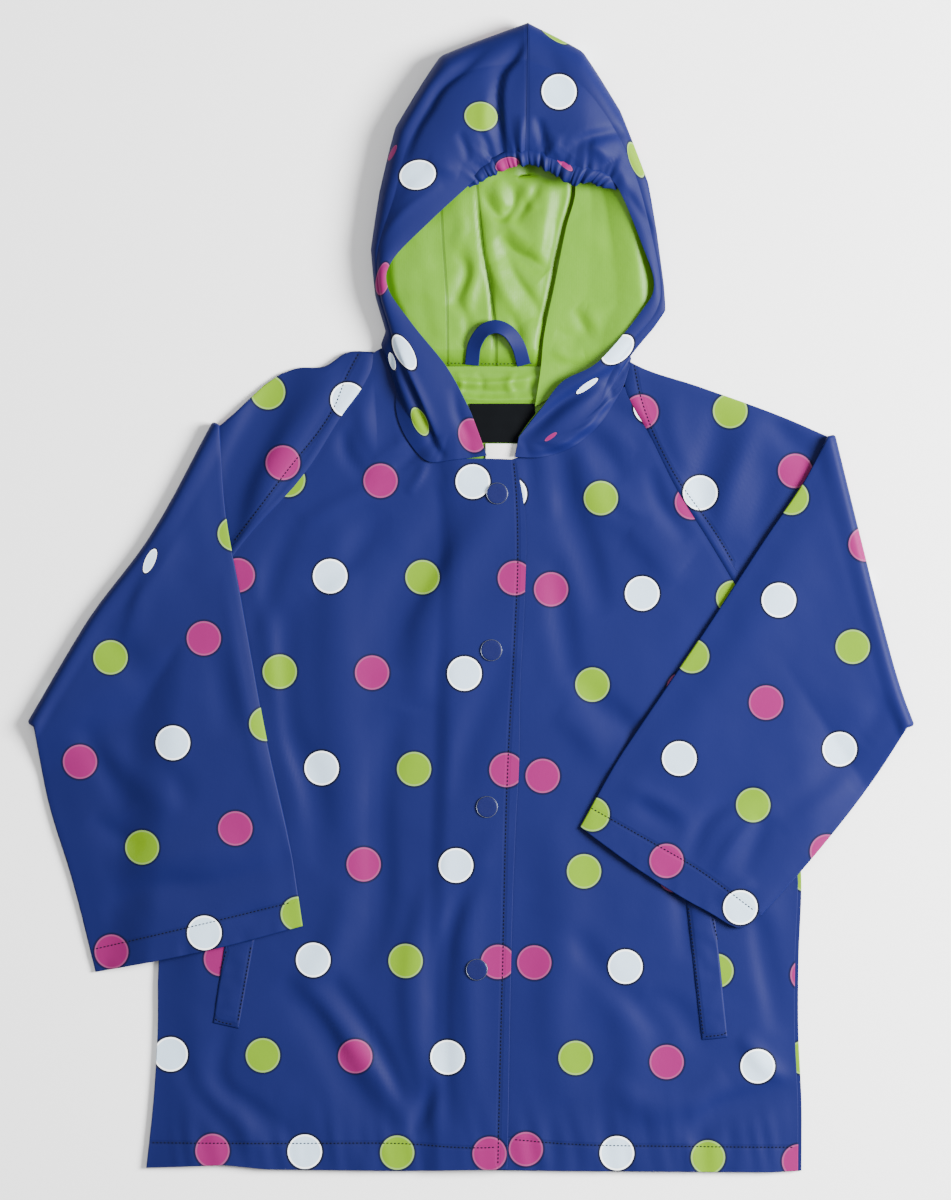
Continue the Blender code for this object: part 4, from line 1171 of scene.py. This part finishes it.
    cloth = Cloth(len(slots), stations, place, (0.36, 0.47), printed, seam_lines(name), 0.0)
    bmesh.ops.remove_doubles(cloth.bm, verts=cloth.bm.verts, dist=0.01 * MM)
    cloth.facing((side * 200.0, -60.0, 5.0))
    settle(cloth.piece(name + "_cloth", [CLOTH, BACKING], 1.0), name,
           (name.replace("sleeve", "front") + "_panel", "back"))


# ---------------------------------------------------------------- hood
HOOD_MIDDLE = (30.0, 240.0, 14.0)
TOP_SHARE, ROLL_SHARE, LOW_SHARE = 6.0, 3.0, 3.0    # the parts of a section
SHOWS = TOP_SHARE + ROLL_SHARE          # from here on a section looks down
LOWER_START = SHOWS + ROLL_SHARE
HOOD_PARTS = LOWER_START + LOW_SHARE
HOOD_LOW, HOOD_FLATNESS = 5.0, 0.66     # how the cloth sinks below its solid
HOOD_EDGE = 0.85
HOOD_FIRST = 1.0 / 16.0                 # share of the hood below its first section
# share of the columns, and the part of a section that they reach
HOOD_COLUMNS = [(0.0, 0.0), (0.5, 6.0), (0.76, 9.0), (0.88, 12.0), (1.0, HOOD_PARTS)]


def spread(u, stops):
    """Where column share u lies, on straight runs between the stops."""
    for (u0, part0), (u1, part1) in zip(stops, stops[1:]):
        if u <= u1:
            return part0 + (part1 - part0) * (u - u0) / (u1 - u0)
    return stops[-1][1]


def soft_rows(table, v):
    """The table's row at fraction v, on a soft curve through its rows."""
    last = len(table) - 1
    place = min(max(v, 0.0), 1.0) * last
    lower = min(int(place), last - 1)
    t = place - lower
    rows = [table[min(max(lower + k, 0), last)] for k in (-1, 0, 1, 2)]
    made = [ease(a, (b - before) / 2.0, b, (after - a) / 2.0, t)
            for before, a, b, after in zip(*rows)]
    for k in (9, 10):               # the outline keeps its corners
        straight = rows[1][k] + (rows[2][k] - rows[1][k]) * t
        made[k] += 0.8 * (straight - made[k])
    return made


def top_path(mouth, crease, mid, t):
    """A curve through three points, the crease half way."""
    return (mouth * (2.0 * (t - 0.5) * (t - 1.0)) + crease * (-4.0 * t * (t - 1.0))
            + mid * (2.0 * t * (t - 0.5)))


def lying_low(place):
    """The cloth lies lower than the crown of its solid."""
    x, y, z = place
    share = HOOD_FLATNESS + 0.10 * smooth((20.0 - x) / 60.0)
    share -= 0.24 * smooth((x - 75.0) / 42.0)
    return Vector((x, y, HOOD_LOW + (z - HOOD_LOW) * share))


def hood_point(row, part, end=None):
    """A point of a section: mouth, over the top, round the edge, to its end."""
    mouth, crease, mid = (lying_low(row[k:k + 3]) for k in (0, 3, 6))
    outer, edge, spine = Vector(row[9:11]), row[11] * HOOD_EDGE, Vector(row[12:14])
    if part <= TOP_SHARE:
        return top_path(mouth, crease, mid, part / TOP_SHARE)
    if part <= SHOWS:
        angle = 0.5 * math.pi * (part - TOP_SHARE) / ROLL_SHARE
        x, y = mid.xy.lerp(outer, math.sin(angle))
        return Vector((x, y, edge + (mid.z - edge) * math.cos(angle)))
    tuck = (spine - outer).normalized() * edge * HOOD_LOWER_TUCK
    if part <= LOWER_START:
        angle = 0.5 * math.pi * (part - SHOWS) / ROLL_SHARE
        x, y = outer + tuck * (1.0 - math.cos(angle))
        return Vector((x, y, edge * (1.0 - math.sin(angle))))
    return (outer + tuck).lerp(end or spine, (part - LOWER_START) / LOW_SHARE).to_3d()


def neck_section(line, part, front_top):
    """The first section follows the neck seam over the fronts."""
    outer, edge, roll = line(1.0), 2.6, 0.1
    if part > SHOWS:
        return hood_point([0.0] * 9 + [outer.x, outer.y, edge, *SPINE_START], part)
    angle = 0.5 * math.pi * max(0.0, (part - TOP_SHARE) / ROLL_SHARE)
    x, y = line((1.0 - roll) * min(1.0, part / TOP_SHARE) + roll * math.sin(angle))
    lift = lap_lift(x + 8.0, y) * (1.0 - smooth((x - 36.0) / 22.0))
    if front_top is right_front_top:
        lift -= lap_lift(x, y)
    top = front_top(x, y) + NECK_STEP + lift
    return Vector((x, y, top + (edge - top) * (1.0 - math.cos(angle))))


def ruffle(u):
    """Gathers along the casing: round ruffles, 1 high, with creases between."""
    uneven = u + 0.020 * noise.noise((u * 9.0, 0.0, 2.0))
    turn = math.pi * CASING_WAVES * uneven
    swell = 0.85 + 0.7 * noise.noise((u * 14.0, 3.0, 5.0))
    return (abs(math.sin(turn)) ** 0.55 + 0.25 * math.sin(3.0 * turn + 1.0)) * swell


def hood_wrinkle():
    """The folds of the hood, which its lining shares."""
    wrinkle = folds(HOOD_FOLDS)
    casing = Line([lying_low(place) for place in CASING_SEAM])

    def at(point, part):
        x, y = point.x, point.y
        on_top = smooth((SHOWS - part) / ROLL_SHARE)
        if on_top == 0.0:
            return 0.0
        move = wrinkle(x, y) + 0.5 * drift(x, y, 26.0, 3.0)
        if y > 262.0 and part < TOP_SHARE:
            gap, u = casing.nearest(x, y)
            inside = smooth(min(u, 1.0 - u) * 9.0)
            lean = u + 0.0016 * gap * math.sin(9.0 * u)
            move += 2.0 * (ruffle(lean) - 0.6) * inside * math.exp(-abs(gap) / 8.0)
        seam = smooth(abs(x - CENTRE_X) / 5.0) if y > CROWN_START else 1.0
        return move * on_top * (0.45 + 0.55 * seam)
    return at


shared_wrinkle = hood_wrinkle()


def lay_hood(name, table, run, side):
    line, spots, under = Line(run), single_spots(HOOD_SPOTS[name]), lattice("back")

    def place(u, v):
        part = spread(u, HOOD_COLUMNS)
        point = hood_point(soft_rows(table, (v - HOOD_FIRST) / (1.0 - HOOD_FIRST)), part)
        if v < HOOD_FIRST:
            point = neck_section(line, part, FRONT_TOPS[side]).lerp(point, v / HOOD_FIRST)
        point.z += shared_wrinkle(point, part) * smooth(v / 0.03)
        if v == 1.0 and side < 0 and part < SHOWS:  # under the other half
            point += Vector((0.8, 0.0, -0.35))
        return (*point, part)

    def printed(x, y, part):
        return spots(x, y) if part < SHOWS else under(x, y)
    cloth = Cloth(120, 170, place, (0.24, 0.31), printed, [(Line(CENTRE_SEAM), None)])
    settle(cloth.facing(HOOD_MIDDLE).piece(name + "_cloth", [CLOTH, BACKING]), name,
           ("back",))


def lay_lining(name, table, side):
    """The lining follows the hood inside.

    The right half goes on past the spine, under the left half, which ends in
    a raised pleat.
    """
    past_spine = 3.0
    parts = HOOD_PARTS + (past_spine if side < 0 else 0.0)
    stops = [(0.0, 0.0), (0.12, 6.0), (0.30, 12.0), (1.0, parts)]
    wrinkle, pleat_line = folds(LINING_FOLDS), Line(LINING_PLEAT)
    outline = Line([row[9:11] for row in table])

    def place(u, v):
        part, section, pleat = spread(u, stops), soft_rows(table, v), pleat_line(v)
        if v == 0.0:
            section[12:14] = SPINE_START[0], SPINE_START[1] + 1.0
        if side > 0:
            point = hood_point(section, part, pleat)
            point.z += LINING_FOLD * smooth((part - HOOD_PARTS + 3.0) / 3.0)
            near = smooth((part - LOWER_START + 0.3) / 0.8)
            near *= 1.0 - smooth((part - LOWER_START - 0.3) / 1.8)
            point.z += LINING_BULGE * lying_low(section[0:3]).z * near
        elif part <= HOOD_PARTS:
            point = hood_point(section, part)
        else:
            covered = pleat + Vector((PLEAT_COVER, 0.0))
            covered.y = max(covered.y, section[13])
            point = Vector(section[12:14]).lerp(
                covered, (part - HOOD_PARTS) / past_spine).to_3d()
        if side < 0 and v == 0.0 and part > LOWER_START:
            point.y += (LINING_FOOT - point.y) * smooth((point.x + 44.0) / 14.0)
        point.z += shared_wrinkle(point, part)
        if point.y > 290.0:         # well below the seam between the hood's halves
            point.z -= 3.0 * math.exp(-((point.x - CENTRE_X) / 6.0) ** 2)
        if v == 1.0 and part < HOOD_PARTS:
            point.x += SEAM_GAP / 2.0 * side
        return tuple(point)

    cloth = Cloth(150, 130, place, (0.24, 0.31), None,
                  [(Line(run), None) for run in LINING_SEAMS])
    cloth.facing(HOOD_MIDDLE).sink(LINING_INSET)
    for vert in cloth.bm.verts:
        x, y, z = vert.co / MM
        lying = smooth((7.4 - z) / 3.2)
        if lying > 0.0:             # loose where it lies, but not beside the hood's edge
            lying *= smooth((abs(outline.nearest(x, y)[0]) - 8.0) / 8.0)
            puff = LINING_PUFF * smooth((y - LINING_FOOT) / 12.0)
            if side < 0:
                puff *= smooth(pleat_line.nearest(x, y)[0] / 6.0)
                puff += 0.9 * drift(x, y, 16.0, 2.0)
            else:
                puff *= 0.4
            move = puff + wrinkle(x, y) + 0.5 * drift(x, y, 30.0, 8.0)
            vert.co.z += max(move, -0.4) * lying * MM
        vert.co.z = max(vert.co.z, LINING_LOWEST * MM)
    settle(cloth.facing(HOOD_MIDDLE).piece(name + "_cloth", [LINING], LINING_SHELL),
           name, (name.replace("lining", "hood") + "_cloth",))


def lay_casing():
    """The gathered edge: a roll that curls over the mouth in uneven ruffles."""
    seam_line = Line([lying_low(place) for place in CASING_SEAM])
    mouth_line = Line(CASING_MOUTH)

    def place(u, v):
        seam = seam_line(u)
        toward = mouth_line(u) - seam.xy
        ends = smooth(min(u, 1.0 - u) * 9.0)
        width = max(toward.length, 4.0) * (0.25 + 0.75 * ends) - CASING_START
        turn = (0.95 + 0.35 * ends) * math.pi * v
        forward = CASING_START + width * (1.0 - math.cos(min(turn, math.pi))) / 2.0
        forward -= 2.5 * max(0.0, turn / math.pi - 1.0)
        crease = (ruffle(u + 0.008 * math.sin(math.pi * v)) - 1.0) * ends
        crease *= math.sin(0.5 * math.pi * v)
        x, y = seam.xy + toward.normalized() * (forward + crease * 2.0)
        rise = CASING_BULGE * ends * math.sin(turn)
        return x, y, seam.z - 0.8 + rise + crease * CASING_DEPTH - 0.6 * v
    cloth = Cloth(CASING_WAVES * 18, 26, place, (0.21, 0.03), single_spots(CASING_SPOTS))
    cloth.facing((45.0, 305.0, 5.0))
    settle(cloth.piece("hood_casing_cloth", [CLOTH, BACKING], 0.8), "hood_casing",
           ("hood_right_cloth", "hood_left_cloth"))


# ---------------------------------------------------------------- small pieces
def flat_patch(corners):
    """A patch between four corners: upper left, upper right, lower right, left."""
    upper_left, upper_right, lower_right, lower_left = corners
    return patch(Line([lower_left, lower_right]), Line([upper_left, upper_right]),
                 Line([lower_left, upper_left]), Line([lower_right, upper_right]))


def lay_tag(node, corners, height, finish, wall, size, cells, rests_on):
    """A small flat cloth; height is a function of u, v, x and y."""
    at = flat_patch(corners)

    def place(u, v):
        x, y = at(u, v)
        return x, y, height(u, v, x, y)
    seams = seam_lines(node)
    cloth = Cloth(*cells, place, size, None, seams).facing(BELOW)
    settle(cloth.piece(node + "_cloth", [finish], wall), node,
           (rests_on,))


def lay_tags():
    floor = WALL + SEAM_GAP + LINING_WALL
    wrinkle = folds(NECK_FACING_FOLDS)

    def facing_height(u, v, x, y):
        below = (SEAM_GAP + 0.05) * 2.0 * smooth((y - FACING_TUCK + 3.0) / 4.0)
        return floor + max(wrinkle(x, y), -0.8) * smooth((y - 134.6) / 2.0) - below

    def tag_height(u, v, x, y):
        top = floor + SEAM_GAP + TAG_WALL
        return top + 0.35 * math.sin(math.pi * u) + 0.25 * drift(x, y, 12.0, 6.0)
    lay_tag("back_neck", BACK_NECK_FACING, facing_height, LINING,
            LINING_WALL, (0.090, 0.074), (70, 60), "back")
    lay_tag("neck_label", NECK_LABEL, tag_height, LABEL, TAG_WALL,
            (0.045, 0.027), (40, 24), "back_neck_cloth")
    lay_tag("size_tag", SIZE_TAG, tag_height, TAG, TAG_WALL,
            (0.022, 0.010), (20, 10), "back_neck_cloth")


def lay_welt(side, length):
    def height(u, v, x, y):
        crown = 0.3 * math.sin(math.pi * u) ** 0.5 + 0.3 * drift(x, y, 9.0, 5.0)
        inside = 0.0 < u < 1.0 and 0.0 < v < 1.0
        top = (right_front_top if side == "right" else left_front_top)(x, y)
        return top + (WELT_STEP if inside else -0.1) + crown
    lay_tag("welt_" + side, WELTS["welt_" + side], height, CLOTH, WALL,
            (0.022, length), (18, 60), side + "_front_panel")


def lay_loop():
    """A flat band that arches up from the back neck seam."""
    base = LINING_INSET + LINING_WALL + SEAM_GAP + WALL
    path = Line(LOOP_PATH)

    def place(u, v):
        heading = (path(u + 0.02) - path(u - 0.02)).normalized()
        arch, across = math.sin(math.pi * u), (v - 0.5) * LOOP_WIDTH
        tilt = math.radians(20.0) * arch
        x, y = path(u) + Vector((-heading.y, heading.x)) * across * math.cos(tilt)
        return x, y, base + LOOP_LIFT * arch - across * math.sin(tilt)
    cloth = Cloth(64, 8, place, (0.078, 0.0095))
    settle(cloth.facing(BELOW).piece("hanger_loop_band", [CLOTH]), "hanger_loop",
           ("lining_right_cloth",))


SNAP_CAP = [(0.0, 0.80), (0.55, 0.84), (0.86, 0.88), (0.925, 0.82), (0.935, 0.7)]
SNAP_RING = [(0.935, 0.6), (0.945, 0.90), (0.96, 1.00), (0.98, 0.96), (0.995, 0.7),
             (1.0, 0.4), (1.0, -0.4)]


def turn_snap(number, x, y):
    """An enamelled cap in a thin metal ring: profiles of radius share and height."""
    seat = max(right_front_top(x + SNAP_RADIUS * math.cos(a), y + SNAP_RADIUS * math.sin(a))
               for a in (k * math.pi / 4.0 for k in range(8)))
    bm = bmesh.new()
    for profile, slot in ((SNAP_CAP, 0), (SNAP_RING, 1)):
        verts = [bm.verts.new((radius * SNAP_RADIUS, 0.0, height))
                 for radius, height in profile]
        edges = [bm.edges.new(pair) for pair in zip(verts, verts[1:])]
        known = set(bm.faces)
        bmesh.ops.spin(bm, geom=verts + edges, cent=(0, 0, 0), axis=(0, 0, 1),
                       angle=2.0 * math.pi, steps=48, use_merge=True)
        for face in set(bm.faces) - known:
            face.material_index = slot
    bmesh.ops.remove_doubles(bm, verts=bm.verts, dist=0.001)
    bmesh.ops.recalc_face_normals(bm, faces=bm.faces)
    bmesh.ops.transform(bm, verts=bm.verts, matrix=(
        Matrix.Scale(MM, 4) @ Matrix.Translation((x, y, seat))))
    made = add_object(f"snap_{number}_cap", bm, [CAP, METAL])
    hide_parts(f"snap_{number}")
    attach(made, "root")


# ---------------------------------------------------------------- stitches
def surface_of(name):
    """A finder of a piece's outer surface below a point."""
    mesh = bpy.data.objects[name].data
    return BVHTree.FromPolygons([v.co for v in mesh.vertices],
                                [p.vertices for p in mesh.polygons])


def sew_row(bm, surface, run, lift):
    """Short stitches on a surface, sunk by half their thickness."""
    line = Line(run)
    shape = Matrix.Diagonal((STITCH_LENGTH / 2.0, STITCH_RADIUS, STITCH_RADIUS, 1.0))
    for k in range(int(line.length / STITCH_PITCH)):
        ends = []
        for offset in (-0.5, 0.5):
            x, y = line(((k + 0.5) * STITCH_PITCH + offset * STITCH_LENGTH) / line.length)
            hit = surface.ray_cast(Vector((x, y, 80.0)) * MM, Vector((0, 0, -1)))[0]
            if hit:
                ends.append(hit / MM + Vector((0.0, 0.0, lift)))
        if len(ends) < 2 or (ends[1] - ends[0]).length > 2.0 * STITCH_LENGTH:
            continue
        turn = (ends[1] - ends[0]).to_track_quat("X", "Z").to_matrix().to_4x4()
        bmesh.ops.create_icosphere(bm, subdivisions=1, radius=1.0, matrix=(
            Matrix.Scale(MM, 4) @ Matrix.Translation((ends[0] + ends[1]) / 2.0)
            @ turn @ shape))


def sew_rows(name, rows, finish, lift=0.0):
    """Sew rows of stitches, each on the named piece."""
    bm = bmesh.new()
    surfaces = {piece: surface_of(piece) for piece, run in rows}
    for piece, run in rows:
        sew_row(bm, surfaces[piece], run, lift)
    made = add_object(name, bm, [finish])
    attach(made, "root")


# ---------------------------------------------------------------- the room
def add_floor():
    bm = bmesh.new()
    bmesh.ops.create_grid(bm, x_segments=1, y_segments=1, size=6.0)
    paper = Finish("pale_paper", {"Roughness": 0.9, "Base Color": (0.93, 0.93, 0.93, 1)})
    floor = add_object("floor", bm, [paper.material])
    floor.location.z = -0.0005


def add_light(name, place, size, power):
    """A round soft light that looks at the coat."""
    data = bpy.data.lights.new(name, "AREA")
    data.shape, data.size, data.energy = "DISK", size, power
    light = bpy.data.objects.new(name, data)
    light.location = place
    light.rotation_euler = (-Vector(place)).to_track_quat("-Z", "Y").to_euler()
    bpy.context.scene.collection.objects.link(light)


def add_camera():
    distance, width = 5.0, 0.828    # metres above the coat, and in view
    data = bpy.data.cameras.new("camera")
    data.sensor_width = 36.0
    data.lens = data.sensor_width * distance / width
    data.clip_end = 50.0
    camera = bpy.data.objects.new("camera", data)
    camera.location = (0.0031, -0.0014, distance)
    bpy.context.scene.collection.objects.link(camera)
    bpy.context.scene.camera = camera


def light_room():
    world = bpy.data.worlds.new("studio")
    bpy.context.scene.world = world
    world.use_nodes = True
    sky = world.node_tree.nodes["Background"]
    sky.inputs["Color"].default_value = (1.0, 1.0, 1.0, 1)
    sky.inputs["Strength"].default_value = 0.52
    add_light("key", (1.75, 0.20, 1.32), 1.1, 250.0)
    add_light("fill", (-0.8, 0.9, 3.6), 2.4, 50.0)


lay_back()
lay_left_front()
lay_right_front()
for sleeve, shape in SLEEVES.items():
    lay_sleeve(sleeve, shape)
lay_hood("hood_right", HOOD_RIGHT, NECK_RIGHT, -1)
lay_hood("hood_left", HOOD_LEFT, NECK_LEFT, 1)
lay_lining("lining_right", HOOD_RIGHT, -1)
lay_lining("lining_left", HOOD_LEFT, 1)
lay_casing()
lay_tags()
lay_welt("right", 0.061)
lay_welt("left", 0.094)
lay_loop()
for number, (x, y) in enumerate(SNAPS, start=1):
    turn_snap(number, x, y)
sew_rows("coat_stitches", STITCH_ROWS, THREAD)
sew_rows("lining_stitches", [("lining_right_cloth", NECK_STITCHES)], LIME_THREAD,
         LINING_SHELL)
add_floor()
light_room()
add_camera()
